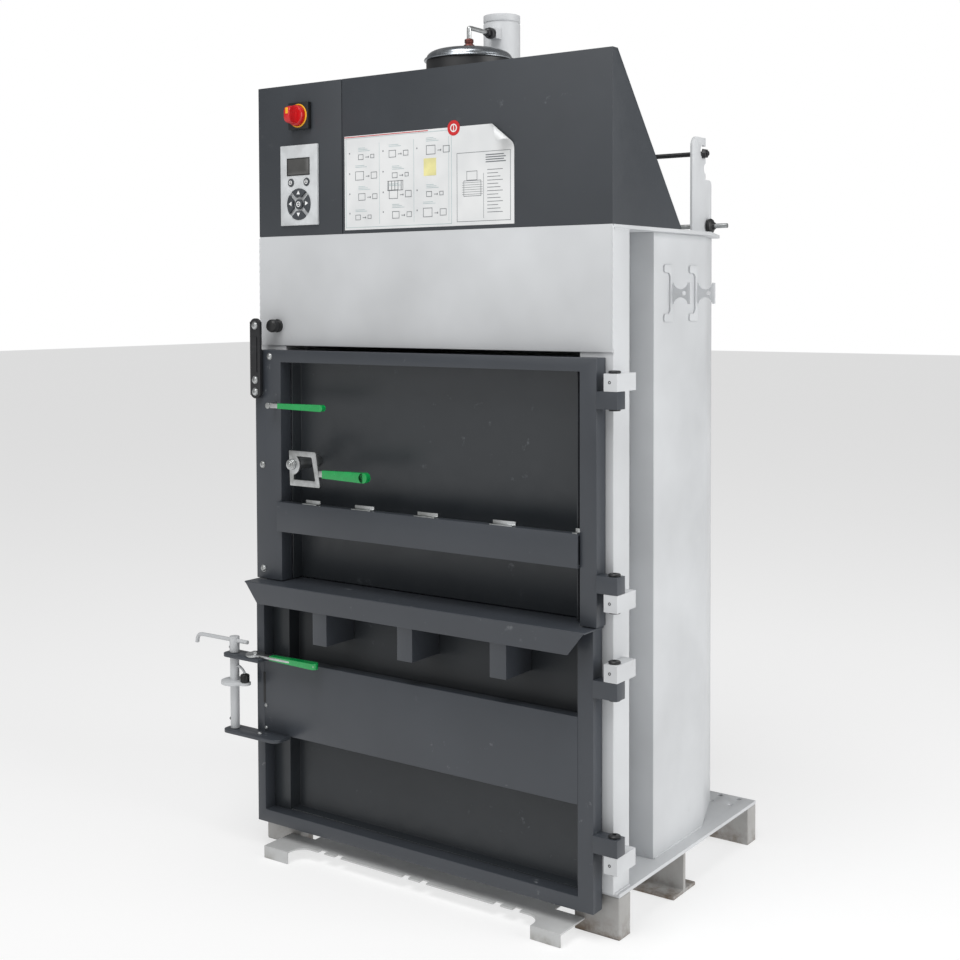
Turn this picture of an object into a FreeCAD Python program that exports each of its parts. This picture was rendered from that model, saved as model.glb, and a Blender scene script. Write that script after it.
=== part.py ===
"""Upright baler for cardboard: a steel press chamber with two side-hung doors and a hydraulic ram.

Frame: +X to the right of someone facing the doors, +Y towards the rear, +Z up.  The origin lies on
the floor, in the middle of the machine's width, below the front faces of the two front columns.
"""
import FreeCAD, Part
import os
import re
import Sketcher
from FreeCAD import Placement, Rotation, Vector

# Driving dimensions in millimetres.  Each one becomes a cell of the sheet under the same name.
SIZES = {
    # base
    "base_overhang": 7, "base_top": 97, "base_plate": 8, "base_front": 12, "base_tail": 65,
    "base_hole": 14, "base_hole_pitch_x": 50, "base_hole_pitch_y": 46, "base_hole_edge": 38,
    "base_hole_back": 15, "foot_width": 109, "foot_depth": 48, "foot_wall": 5,
    "rear_foot_depth": 45, "beam_flange": 104, "beam_web": 10, "beam_plate": 8,
    # threshold
    "sill_front": 85, "sill_inset": 75, "sill_top": 29, "sill_plate": 4, "sill_foot": 74,
    "sill_corner": 34, "sill_middle": 40, "sill_back": 60, "sill_notch": 18, "sill_tab": 32,
    "sill_notch_depth": 14,
    # body
    "body_width": 974, "column_width": 80, "column_depth": 66, "column_wall": 4,
    "column_step": 7, "chamber_back": 612, "wall": 4, "side_box_reach": 59.5,
    "side_box_front": 213, "side_box_taper": 162, "side_box_sheet": 3, "header_height": 259,
    "top_plate": 8, "top_taper": 172, "top_rear_inset": 62, "header_sheet": 4, "header_hem": 14, "floor_plate": 12, "floor_groove": 50,
    "groove_floor": 3, "strap_pitch": 248,
    # hood
    "hood_height": 353, "hood_cap": 17, "hood_foot": 297, "hood_sheet": 2, "cabinet_width": 261,
    "hood_gap": 2,
    # control panel
    "panel_width": 115, "panel_depth": 6, "panel_floor": 1, "key_travel": 1.2, "key_rise": 2,
    "key_gap": 0.5, "key_slack": 0.3, "key_radius": 9, "key_offset": 24.5, "key_level": 100,
    "pad_radius": 36, "pad_eye": 12, "pad_level": 49,
    "switch_base": 62, "switch_depth": 12, "switch_gap": 0.3, "knob_radius": 24,
    "knob_length": 38,
    # press
    "barrel_radius": 43.5, "bore_radius": 35, "rod_radius": 22.5, "fit_gap": 0.05,
    "gland_length": 40, "barrel_cap": 16, "barrel_groove": 4, "barrel_groove_depth": 2,
    "barrel_end": 14, "barrel_flange": 22, "barrel_flange_plate": 14, "rod_headroom": 30,
    "piston_length": 40, "platen_height": 48, "platen_plate": 8, "platen_gap": 4,
    "boss_wall": 16, "boss_rise": 22,
    "tank_x": 12, "tank_wall": 4, "pump_height": 100,
    "dome_rise": 30, "dome_rim": 3, "dome_rim_height": 4, "gland_nut": 12, "gland_nut_rise": 13,
    "pipe_radius": 5, "pipe_bend": 18, "port_block": 24, "pipe_nut": 10, "pipe_nut_length": 20,
    # strap holder
    "post_plate": 6, "post_depth": 100, "post_neck": 69, "post_shoulder": 130,
    "post_height": 228, "strap_rod_radius": 6, "rest_clearance": 7, "rest_mouth": 15,
    "dip_radius": 13, "rod_head_radius": 13, "rod_head": 11, "rod_overhang": 14,
    "low_rod_overhang": 50, "strap_knob_radius": 20, "strap_knob": 12,
    "hook_height": 124, "hook_plate": 4, "hook_flange": 40, "hook_reach": 47, "hook_neck": 18,
    "hook_horn": 47, "hook_scoop": 17, "hook_eye": 5,
    # doors
    "lower_door_height": 587, "upper_door_height": 545, "door_split": 2, "door_head_gap": 10,
    "door_drop": 34, "door_front": 37, "door_gap": 1, "door_recess": 30, "door_sheet": 4,
    "foot_slack": 1.5, "panel_side_gap": 3, "upper_right_stile": 40, "upper_top_rail": 28,
    "cross_height": 70, "cross_depth": 22, "cross_proud": 8, "cross_lap": 8,
    "lower_left_stile": 24, "lower_right_stile": 37, "lower_bottom_rail": 30, "wide_depth": 28,
    "lip_height": 50, "lip_cut": 40, "lip_sheet": 4, "lip_proud": 43,
    "stub_width": 42, "stub_height": 127, "stub_sheet": 3,
    # hinges
    "pin_radius": 8, "pin_gap": 0.05, "hinge_front": 17,
    "hinge_height": 36, "hinge_side": 15.5, "hinge_rear": 36, "hinge_leaf_rear": 8,
    "hinge_slack": 0.5, "pin_cap": 3, "pin_cap_radius": 12,
    # upper door levers and screws
    "pull_reach": 171, "pull_bar": 6, "pull_height": 11, "pull_hub": 7, "pull_hub_head": 3,
    "grip_height": 16, "grip_depth": 12, "grip_bare": 30, "grip_end": 4, "hub_gap": 0.3,
    "latch_plate": 6, "latch_bolt": 9, "latch_low": 49, "latch_high": 32, "latch_right": 86,
    "latch_grip": 134, "latch_grip_height": 24,
    "latch_grip_depth": 14, "latch_frame": 18, "latch_window": 46,
    "latch_boss": 12, "latch_tang": 14, "latch_drop": 17,
    "screw_radius": 8, "screw_head": 4, "screw_edge": 22,
    "arm_width": 40, "arm_height": 190, "arm_plate": 7, "arm_standoff": 6, "arm_foot": 9,
    "arm_foot_shift": 6, "arm_bolt_low": 16, "arm_bolt_high": 44, "arm_bolt_top": 20,
    "arm_bolt_head": 6, "sensor_radius": 16, "sensor_length": 30,
    # lock of the lower door
    "lock_tube_radius": 11, "lug_plate": 8, "lug_depth": 48, "lug_reach": 100,
    "lug_low_reach": 156, "lug_left": 22, "lug_gap": 0.5, "lock_flange_radius": 33,
    "lock_flange": 8, "roller_radius": 11, "roller_length": 20, "roller_offset": 34, "lock_rod_radius": 5,
    "lock_rod_left": 128, "lock_rod_right": 44, "lock_rod_hook": 22, "lock_spindle": 7,
    "spindle_tail": 6, "lock_head": 12, "lever_reach": 196, "lever_plate": 6, "lever_bare": 40,
    "lever_depth": 18, "lever_hub": 23, "lever_screw": 8, "lever_screw_head": 5,
    "lever_grip_depth": 26, "lever_grip_height": 18,
    "keeper_height": 120, "keeper_plate": 8, "keeper_depth": 30, "keeper_front": 4,
}

# Sizes and places that follow from the driving dimensions, as formulas of the sheet.
PLACES = {
    # widths, half widths and depths of the body
    "half_body": "body_width / 2", "inner": "half_body - column_width",
    "chamber_width": "2 * (inner - column_step)", "half_base": "half_body + base_overhang",
    "base_rear": "chamber_back + base_tail", "beam_centre": "chamber_back / 2 - 4",
    "sill_width": "2 * (half_body - sill_inset)",
    "side_box_width": "chamber_width + 2 * wall + 2 * side_box_reach",
    "side_box_bend": "chamber_back - side_box_taper", "top_bend": "chamber_back - top_taper",
    # heights from the floor up
    "plate_bottom": "base_top - base_plate", "lower_bottom": "base_top - door_drop",
    "lower_top": "lower_bottom + lower_door_height", "upper_bottom": "lower_top + door_split",
    "upper_top": "upper_bottom + upper_door_height",
    "header_bottom": "upper_top + door_head_gap", "body_top": "header_bottom + header_height",
    "column_height": "body_top - top_plate - base_top",
    # chamber floor, hood and controls
    "floor_front": "door_recess + door_sheet + 8",
    "hood_seam": "half_body - cabinet_width - hood_gap", "panel_centre": "half_body - 133.5",
    "panel_bottom": "body_top + 24", "panel_height": "hood_height - 166",
    "switch_centre": "half_body - 138", "switch_height": "body_top + hood_height - 75",
    # press
    "ram_centre": "chamber_back / 2 + 10", "barrel_bottom": "body_top - 170",
    "platen_bottom": "barrel_bottom - 74", "platen_front": "floor_front - 2",
    "tank_radius": "(ram_centre - 22) / 3", "dome_radius": "tank_radius + 2",
    "tank_y": "ram_centre - tank_radius - 52", "tank_top": "body_top + hood_height + 38",
    "barrel_top": "tank_top + 128", "pipe_height": "barrel_top - 49",
    "port_face": "ram_centre - 58",
    # strap holder
    "post_x": "chamber_width / 2", "post_front": "chamber_back - 106",
    "rod_rest_y": "post_front + 55", "rod_rest_z": "body_top + post_height - 38",
    "low_rod_y": "post_front + 82", "low_rod_z": "body_top + 21",
    "hook_wall": "side_box_width / 2",
    "hook_first": "side_box_front + (side_box_bend - side_box_front - 6) / 3",
    "hook_pitch": "(side_box_bend - side_box_front + 3) / 2", "hook_bottom": "body_top - 201",
    # doors
    "upper_left": "half_body - 14", "upper_right": "half_body - 18",
    "lower_left": "half_body - 11", "lower_right": "half_body - 26",
    "upper_left_stile": "column_width + 1", "tray_half": "inner - panel_side_gap",
    "cross_bottom": "upper_bottom + 118", "cross_front": "door_front + cross_proud",
    "wide_bottom": "lower_bottom + (lower_door_height + 73) / 3",
    "wide_height": "(lower_door_height - 44) / 3",
    "lip_left": "half_body - 14", "lip_right": "half_body - 22",
    "lip_front": "door_front + lip_proud", "lip_bottom": "lower_top - lip_height",
    "stub_bottom": "lower_top - stub_height", "stub_front": "lip_front - 12",
    # hinges, levers and interlock
    "pin_x": "half_body + hinge_side", "pin_y": "door_front - 14",
    "pull_x": "half_body - 80", "pull_y": "door_front + 23", "pull_z": "upper_top - 129",
    "latch_x": "half_body - 151", "latch_y": "cross_front + 12", "latch_z": "cross_bottom + 164",
    "arm_left": "half_body - 6", "arm_bottom": "header_bottom - 125",
    "sensor_x": "half_body - 58", "sensor_z": "header_bottom + 47",
    # lock
    "lock_x": "half_body + 40", "lock_y": "door_front + 24", "lock_low": "wide_bottom + 1",
    "lock_high": "wide_bottom + wide_height - 4", "lock_tube_top": "lock_high + 37",
    "lock_flange_z": "(lock_low + lock_high) / 2 + 21", "lever_x": "half_body - 29",
    "keeper_bottom": "wide_bottom + 47",
}

doc = FreeCAD.newDocument("UprightBaler")
sheet = doc.addObject("Spreadsheet::Sheet", "Sizes")
for row, (alias, entry) in enumerate((SIZES | PLACES).items(), start=1):
    sheet.set(f"A{row}", f"={entry}" if alias in PLACES else str(entry))
    sheet.setAlias(f"A{row}", alias)
doc.recompute()

AXES = {
    "X": Rotation(Vector(0, 1, 0), 90),
    "-X": Rotation(Vector(0, 1, 0), -90),
    "Y": Rotation(Vector(1, 0, 0), -90),
    "-Y": Rotation(Vector(1, 0, 0), 90),
    "Z": Rotation(),
    "-Z": Rotation(Vector(1, 0, 0), 180),
}
nodes = []


def cells(text):
    """Write an expression over plain size names as one over the sheet's cells."""
    def swap(match):
        word = match.group(0)
        return "Sizes." + word if word in SIZES or word in PLACES else word
    return re.sub(r"[a-z_][a-z_0-9]*", swap, str(text))


def bind(item, **fields):
    """Bind properties of an object to expressions over the sheet."""
    for field, text in fields.items():
        item.setExpression(field, cells(text))
    return item


def move(item, x, y, z):
    """Bind an object's position to expressions over the sheet."""
    for letter, text in zip("xyz", (x, y, z)):
        item.setExpression(f"Placement.Base.{letter}", cells(text))
    return item


def keep(label, item):
    """Name a finished sub-part and put it on the list of exported nodes."""
    item.Label = label
    nodes.append(item)
    return item


def box(x, y, z, length, width, height):
    """A block from its low corner and its three sizes."""
    item = doc.addObject("Part::Box", "Block")
    bind(item, Length=length, Width=width, Height=height)
    return move(item, x, y, z)


def rod(axis, x, y, z, radius, length):
    """A cylinder that starts at a point and runs along one of the signed axes."""
    item = doc.addObject("Part::Cylinder", "Round")
    item.Placement = Placement(Vector(), AXES[axis])
    bind(item, Radius=radius, Height=length)
    return move(item, x, y, z)


def hexagon(axis, x, y, z, radius, length):
    """A six-sided prism along one of the signed axes."""
    item = doc.addObject("Part::Prism", "Hexagon")
    item.Polygon = 6
    item.Placement = Placement(Vector(), AXES[axis])
    bind(item, Circumradius=radius, Height=length)
    return move(item, x, y, z)


def fuse(*items):
    """Join touching solids into one."""
    item = doc.addObject("Part::MultiFuse", "Joined")
    item.Shapes = list(items)
    item.Refine = True
    return item


def gather(*items):
    """Keep separate solids together in one sub-part."""
    item = doc.addObject("Part::Compound", "Group")
    item.Links = list(items)
    return item


def cut(base, *tools):
    """Take the tools out of the base."""
    item = doc.addObject("Part::Cut", "Trimmed")
    item.Base = base
    item.Tool = tools[0] if len(tools) == 1 else fuse(*tools)
    item.Refine = True
    return item


def common(first, second):
    """The volume that two solids share."""
    item = doc.addObject("Part::Common", "Shared")
    item.Base = first
    item.Tool = second
    return item


def outline(body, role, points):
    """A closed sketch on an origin plane of a body, every corner placed by the sheet."""
    sketch = body.newObject("Sketcher::SketchObject", "Outline")
    plane = [item for item in body.Origin.OriginFeatures if item.Role == role][0]
    sketch.AttachmentSupport = [(plane, "")]
    sketch.MapMode = "FlatFace"
    spots = [[number(text) for text in point] for point in points]
    for index, spot in enumerate(spots):
        after = spots[(index + 1) % len(spots)]
        sketch.addGeometry(Part.LineSegment(Vector(*spot, 0), Vector(*after, 0)), False)
    for index in range(len(spots)):
        after = (index + 1) % len(spots)
        sketch.addConstraint(Sketcher.Constraint("Coincident", index, 2, after, 1))
    for index, point in enumerate(points):
        for kind, axis, text in (("DistanceX", -2, point[0]), ("DistanceY", -1, point[1])):
            if number(text) == 0:
                sketch.addConstraint(Sketcher.Constraint("PointOnObject", index, 1, axis))
                continue
            spot = sketch.addConstraint(
                Sketcher.Constraint(kind, -1, 1, index, 1, number(text)))
            sketch.setExpression(f"Constraints[{spot}]", cells(text))
    return sketch


def number(text):
    """The present value of an expression over the sheet."""
    return sheet.evalExpression(cells(text))


def profile(role, points, length, place):
    """A body padded from one closed outline: XY goes up, XZ goes back, YZ goes right."""
    body = doc.addObject("PartDesign::Body", "Profile")
    sketch = outline(body, role, points)
    pad = body.newObject("PartDesign::Pad", "Pad")
    pad.Profile = sketch
    pad.Reversed = role == "XZ_Plane"
    bind(pad, Length=length)
    return move(body, *place)


def side_offset(side, distance):
    """The X position at a distance from the middle plane, on the left or the right side."""
    return f"{side} * ({distance})"


def block_on_side(side, inner, y, z, length, width, height):
    """A block that starts at a distance from the middle plane and grows outwards."""
    low = inner if side > 0 else f"-({inner}) - ({length})"
    return box(low, y, z, length, width, height)


# ---------------------------------------------------------------------------------------- base
def build_base():
    """Base plate, feet, beam and the threshold under the doors."""
    plate = box("-half_base", "base_front", "plate_bottom",
                "2 * half_base", "base_rear - base_front", "base_plate")
    mouth = box("-inner", "base_front - 1", "plate_bottom - 1",
                "2 * inner", "floor_front - 4 - base_front + 1", "base_plate + 2")
    holes = []
    for side in (-1, 1):
        for column in (0, 1):
            for line in (0, 1):
                holes.append(rod(
                    "Z", side_offset(side, f"half_base - base_hole_edge - {column} * base_hole_pitch_x"),
                    f"base_rear - base_hole_back - {line} * base_hole_pitch_y",
                    "plate_bottom - 1", "base_hole / 2", "base_plate + 2"))
    keep("base_plate", cut(plate, mouth, *holes))

    for side, word in ((-1, "left"), (1, "right")):
        low = "half_base - foot_width"
        shell = block_on_side(side, low, "base_front", "0",
                              "foot_width", "foot_depth", "plate_bottom")
        room = block_on_side(side, f"{low} + foot_wall", "base_front + foot_wall", "-1",
                             "foot_width - 2 * foot_wall", "foot_depth - 2 * foot_wall",
                             "plate_bottom - foot_wall + 1")
        keep(f"front_foot_{word}", cut(shell, room))

    web = box("-half_base", "beam_centre - beam_web / 2", "beam_plate",
              "2 * half_base", "beam_web", "plate_bottom - beam_plate")
    flange = box("-half_base", "beam_centre - beam_flange / 2", "0",
                 "2 * half_base", "beam_flange", "beam_plate")
    keep("mid_beam", fuse(web, flange))

    rear = box("-half_base", "base_rear - rear_foot_depth", "0",
               "2 * half_base", "rear_foot_depth", "plate_bottom")
    room = box("-half_base + foot_wall", "base_rear - rear_foot_depth + foot_wall", "foot_wall",
               "2 * half_base - 2 * foot_wall", "rear_foot_depth - 2 * foot_wall",
               "plate_bottom - foot_wall + 1")
    keep("rear_foot", cut(rear, room))


def build_threshold():
    """Front sill: a flat plate with a notched front edge and a foot bent down at each end."""
    half = "sill_width / 2"
    inner = f"({half} - sill_foot)"
    low = "sill_top - sill_plate"
    plate = box(f"-{half}", "-sill_front", low, "sill_width", "sill_front + base_front", "sill_plate")
    tongue = box(f"-{inner}", "base_front - 1", low, f"2 * {inner}", "sill_back - base_front + 1",
                 "sill_plate")
    feet = [block_on_side(side, inner, "-sill_front", "0", "sill_foot", "sill_plate", "sill_top")
            for side in (-1, 1)]
    hollow = box(f"-{inner} + sill_corner", "-sill_front - 1", "-1", f"2 * ({inner} - sill_corner)",
                 "sill_front - sill_middle + 1", "sill_top + 2")
    fillets = [rod("Z", side_offset(side, f"{inner} - sill_corner"), "-sill_middle - sill_corner",
                   "-1", "sill_corner", "sill_top + 2") for side in (-1, 1)]
    mouth = box(f"-{inner}", "-sill_front - 1", "-1", f"2 * {inner}",
                "sill_front - sill_middle - sill_corner + 1", "sill_top + 2")
    notches = []
    for place in (-1, 0, 1):
        for edge in (-1, 1):
            notches.append(box(
                f"{place} * strap_pitch + {edge} * (sill_tab + sill_notch) / 2 - sill_notch / 2",
                "-sill_middle - 1", f"{low} - 1", "sill_notch", "sill_notch_depth + 1",
                "sill_plate + 2"))
    keep("threshold_plate", cut(fuse(plate, tongue, *feet), hollow, mouth, *fillets, *notches))


# ---------------------------------------------------------------------------------------- body
def build_body():
    """Front columns, chamber shell, side boxes, floor, top plate and header."""
    for side, word in ((-1, "left"), (1, "right")):
        tube = block_on_side(side, "inner", "0", "base_top",
                             "column_width", "column_depth", "column_height")
        room = block_on_side(side, "inner + column_wall", "column_wall", "base_top - 1",
                             "column_width - 2 * column_wall", "column_depth - 2 * column_wall",
                             "column_height + 2")
        keep(f"column_{word}", cut(tube, room))

    outer = box("-chamber_width / 2 - wall", "column_depth", "base_top",
                "chamber_width + 2 * wall", "chamber_back - column_depth", "column_height")
    room = box("-chamber_width / 2", "column_depth - 1", "base_top - 1",
               "chamber_width", "chamber_back - column_depth - wall + 1", "column_height + 2")
    returns = []
    for side in (-1, 1):
        returns.append(block_on_side(side, "chamber_width / 2 + wall", "column_depth", "base_top",
                                     "column_width / 2 + column_step - wall",
                                     "wall", "column_height"))
    keep("chamber_shell", fuse(cut(outer, room), *returns))

    reach = "side_box_reach"
    depth = "chamber_back - side_box_front"
    bend = "side_box_bend - side_box_front"
    for side, word in ((-1, "left"), (1, "right")):
        if side > 0:
            skin = [("0", "0"), (reach, "0"), (reach, bend), ("0", depth)]
            hollow = [("0", "side_box_sheet"), (f"{reach} - side_box_sheet", "side_box_sheet"),
                      (f"{reach} - side_box_sheet", f"{bend} - side_box_sheet / 4"),
                      ("0", f"{depth} - 3 * side_box_sheet")]
            start = "chamber_width / 2 + wall"
        else:
            skin = [("0", "0"), (reach, "0"), (reach, depth), ("0", bend)]
            hollow = [("side_box_sheet", "side_box_sheet"), (reach, "side_box_sheet"),
                      (reach, f"{depth} - 3 * side_box_sheet"),
                      ("side_box_sheet", f"{bend} - side_box_sheet / 4")]
            start = "-side_box_width / 2"
        solid = profile("XY_Plane", skin, "column_height", (start, "side_box_front", "base_top"))
        room = profile("XY_Plane", hollow, "column_height + 2",
                       (start, "side_box_front", "base_top - 1"))
        keep(f"side_box_{word}", cut(solid, room))

    lid = profile("XY_Plane",
                  [("0", "0"), ("body_width", "0"), ("body_width", "top_bend"),
                   ("body_width - top_rear_inset", "chamber_back"),
                   ("top_rear_inset", "chamber_back"), ("0", "top_bend")],
                  "top_plate", ("-half_body", "0", "body_top - top_plate"))
    hole = rod("Z", "0", "ram_centre", "body_top - top_plate - 1",
               "barrel_radius + 0.3", "top_plate + 2")
    keep("top_plate", cut(lid, hole))

    floor = box("-chamber_width / 2 + 1", "floor_front", "base_top", "chamber_width - 2",
                "chamber_back - wall - 1 - floor_front", "floor_plate")
    grooves = [box(f"{place} * strap_pitch - floor_groove / 2", "floor_front - 1",
                   "base_top + groove_floor", "floor_groove", "chamber_back - floor_front", "floor_plate")
               for place in (-1, 0, 1)]
    keep("chamber_floor", cut(floor, *grooves))

    face = box("-half_body + 1", "-header_sheet", "header_bottom",
               "body_width - 2", "header_sheet", "header_height")
    hem = box("-inner + 1", "-header_sheet / 2", "header_bottom",
              "2 * inner - 2", "header_hem", "header_sheet")
    keep("header_panel", fuse(face, hem))


# ---------------------------------------------------------------------------------------- hood
def wedge(start, length, grow, top, foot):
    """The hood's side shape padded along X, drawn in or out by a margin."""
    rise = f"hood_height + ({top})"
    return profile("YZ_Plane",
                   [("0", "0"), (f"header_sheet + hood_foot + ({foot})", "0"),
                    (f"header_sheet + hood_cap + ({foot})", rise), ("0", rise)],
                   length, (start, f"-header_sheet - ({grow})", "body_top"))


def build_hood():
    """Sheet-metal hood: cover on the right, closed control cabinet on the left."""
    cover = wedge("-hood_seam", "half_body + hood_seam", "0", "0", "0")
    room = box("-hood_seam - 1", "hood_sheet - header_sheet", "body_top - 1",
               "half_body + hood_seam + 1 - hood_sheet", "hood_foot + 100",
               "hood_height + 1 - hood_sheet")
    keep("hood_cover", cut(cover, room))

    shell = wedge("-half_body", "cabinet_width", "0", "0", "0")
    hollow = wedge("-half_body + hood_sheet", "cabinet_width - 2 * hood_sheet", "-hood_sheet",
                   "-hood_sheet", "-3 * hood_sheet")
    keep("cabinet_cover", cut(shell, hollow))


def build_controls():
    """Main switch and the membrane-style control panel with its keys."""
    front = "-header_sheet"
    keep("switch_base", box("-switch_centre - switch_base / 2", f"{front} - switch_depth",
                            "switch_height - switch_base / 2", "switch_base", "switch_depth",
                            "switch_base"))
    start = f"{front} - switch_depth - switch_gap"
    disc = rod("-Y", "-switch_centre", start, "switch_height", "knob_radius", "knob_length / 3")
    bar = box("-switch_centre - knob_radius / 3", f"{start} - knob_length",
              "switch_height - knob_radius", "knob_radius / 1.5",
              "knob_length * 2 / 3 + 1", "2 * knob_radius")
    keep("switch_knob", fuse(disc, bar))

    left = "-panel_centre - panel_width / 2"
    plate = box(left, f"{front} - panel_depth", "panel_bottom",
                "panel_width", "panel_depth", "panel_height")
    pad_z = "panel_bottom + pad_level"
    key_z = "panel_bottom + key_level"
    deep = "panel_depth - panel_floor"
    stem = f"{deep} + key_rise - key_travel - key_slack"
    face = f"{front} - panel_depth"
    wells = []
    for name, side in (("menu_key", -1), ("enter_key", 1)):
        x = f"-panel_centre + {side} * key_offset"
        wells.append(rod("Y", x, f"{face} - 1", key_z, "key_radius + key_gap", f"{deep} + 1"))
        keep(name, rod("Y", x, f"{face} - key_rise", key_z, "key_radius", stem))
    wells.append(rod("Y", "-panel_centre", f"{face} - 1", pad_z, "pad_radius + key_gap",
                     f"{deep} + 1"))
    ring = rod("Y", "-panel_centre", f"{face} - key_rise", pad_z, "pad_radius", stem)
    eye = rod("Y", "-panel_centre", f"{face} - key_rise - 1", pad_z, "pad_eye", f"{stem} + 2")
    keep("arrow_pad", cut(ring, eye))
    keep("stop_key", rod("Y", "-panel_centre", f"{face} - key_rise", pad_z, "pad_eye - key_gap",
                         stem))
    keep("control_panel", cut(plate, *wells))


# --------------------------------------------------------------------------------------- press
def build_press():
    """Hydraulic ram, platen, oil tank and pressure pipe."""
    spot = ("0", "ram_centre")
    barrel = rod("Z", *spot, "barrel_bottom", "barrel_radius",
                 "barrel_top - barrel_bottom - barrel_cap - barrel_groove")
    neck = rod("Z", *spot, "barrel_top - barrel_cap - barrel_groove - 1",
               "barrel_radius - barrel_groove_depth", "barrel_groove + 2")
    cap = rod("Z", *spot, "barrel_top - barrel_cap", "barrel_radius", "barrel_cap")
    flange = rod("Z", *spot, "body_top - top_plate - barrel_flange_plate",
                 "barrel_radius + barrel_flange", "barrel_flange_plate")
    port = box("tank_x - port_block / 2", "port_face", "pipe_height - port_block / 2",
               "port_block", "ram_centre - port_face - bore_radius - 2", "port_block")
    bore = rod("Z", *spot, "barrel_bottom + gland_length", "bore_radius",
               "barrel_top - barrel_bottom - gland_length - barrel_end")
    gland = rod("Z", *spot, "barrel_bottom - 1", "rod_radius + fit_gap", "gland_length + 2")
    keep("press_barrel", cut(fuse(barrel, neck, cap, flange, port), bore, gland))

    rod_top = "barrel_top - rod_headroom"
    shaft_start = "platen_bottom + platen_plate"
    shaft = rod("Z", *spot, shaft_start, "rod_radius", f"{rod_top} - ({shaft_start})")
    piston = rod("Z", *spot, f"{rod_top} - piston_length", "bore_radius - fit_gap", "piston_length")
    keep("piston_rod", fuse(shaft, piston))

    width = "chamber_width - 2 * platen_gap"
    depth = "chamber_back - wall - platen_gap - platen_front"
    block = box(f"-({width}) / 2", "platen_front", "platen_bottom", width, depth, "platen_height")
    void = box(f"-({width}) / 2 + platen_plate", "platen_front + platen_plate",
               "platen_bottom + platen_plate", f"{width} - 2 * platen_plate",
               f"{depth} - 2 * platen_plate", "platen_height - 2 * platen_plate")
    boss = rod("Z", *spot, "platen_bottom + 1", "rod_radius + boss_wall",
               "platen_height + boss_rise")
    socket = rod("Z", *spot, shaft_start, "rod_radius + fit_gap", "platen_height + boss_rise")
    keep("press_platen", cut(fuse(cut(block, void), boss), socket))

    shell = rod("Z", "tank_x", "tank_y", "body_top", "tank_radius", "tank_top - body_top")
    room = rod("Z", "tank_x", "tank_y", "body_top + pump_height", "tank_radius - tank_wall",
               "tank_top - body_top - pump_height - tank_wall")
    keep("oil_tank", cut(shell, room))
    sphere = doc.addObject("Part::Sphere", "Ball")
    swell = "((dome_radius * dome_radius + dome_rise * dome_rise) / (2 * dome_rise))"
    bind(sphere, Radius=swell)
    move(sphere, "tank_x", "tank_y", f"tank_top + dome_rise - {swell}")
    drum = rod("Z", "tank_x", "tank_y", "tank_top", "dome_radius", "dome_rise + 1")
    rim = rod("Z", "tank_x", "tank_y", "tank_top", "dome_radius + dome_rim", "dome_rim_height")
    nut = hexagon("Z", "tank_x", "tank_y", "tank_top + dome_rise - 3", "gland_nut",
                  "gland_nut_rise + 3")
    keep("tank_dome", fuse(common(sphere, drum), rim, nut))

    foot = "tank_top + dome_rise + gland_nut_rise"
    rise = rod("Z", "tank_x", "tank_y", foot, "pipe_radius",
               f"pipe_height - pipe_bend - ({foot})")
    elbow = doc.addObject("Part::Torus", "Elbow")
    elbow.Placement = Placement(Vector(), Rotation(Vector(0, -1, 0), Vector(0, 0, 1),
                                                   Vector(-1, 0, 0), "XYZ"))
    elbow.Angle3 = 90
    bind(elbow, Radius1="pipe_bend", Radius2="pipe_radius")
    move(elbow, "tank_x", "tank_y + pipe_bend", "pipe_height - pipe_bend")
    run = rod("Y", "tank_x", "tank_y + pipe_bend", "pipe_height", "pipe_radius",
              "port_face - tank_y - pipe_bend")
    end = hexagon("Y", "tank_x", "port_face - pipe_nut_length", "pipe_height", "pipe_nut",
                  "pipe_nut_length")
    keep("pressure_pipe", fuse(rise, elbow, run, end))


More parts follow.
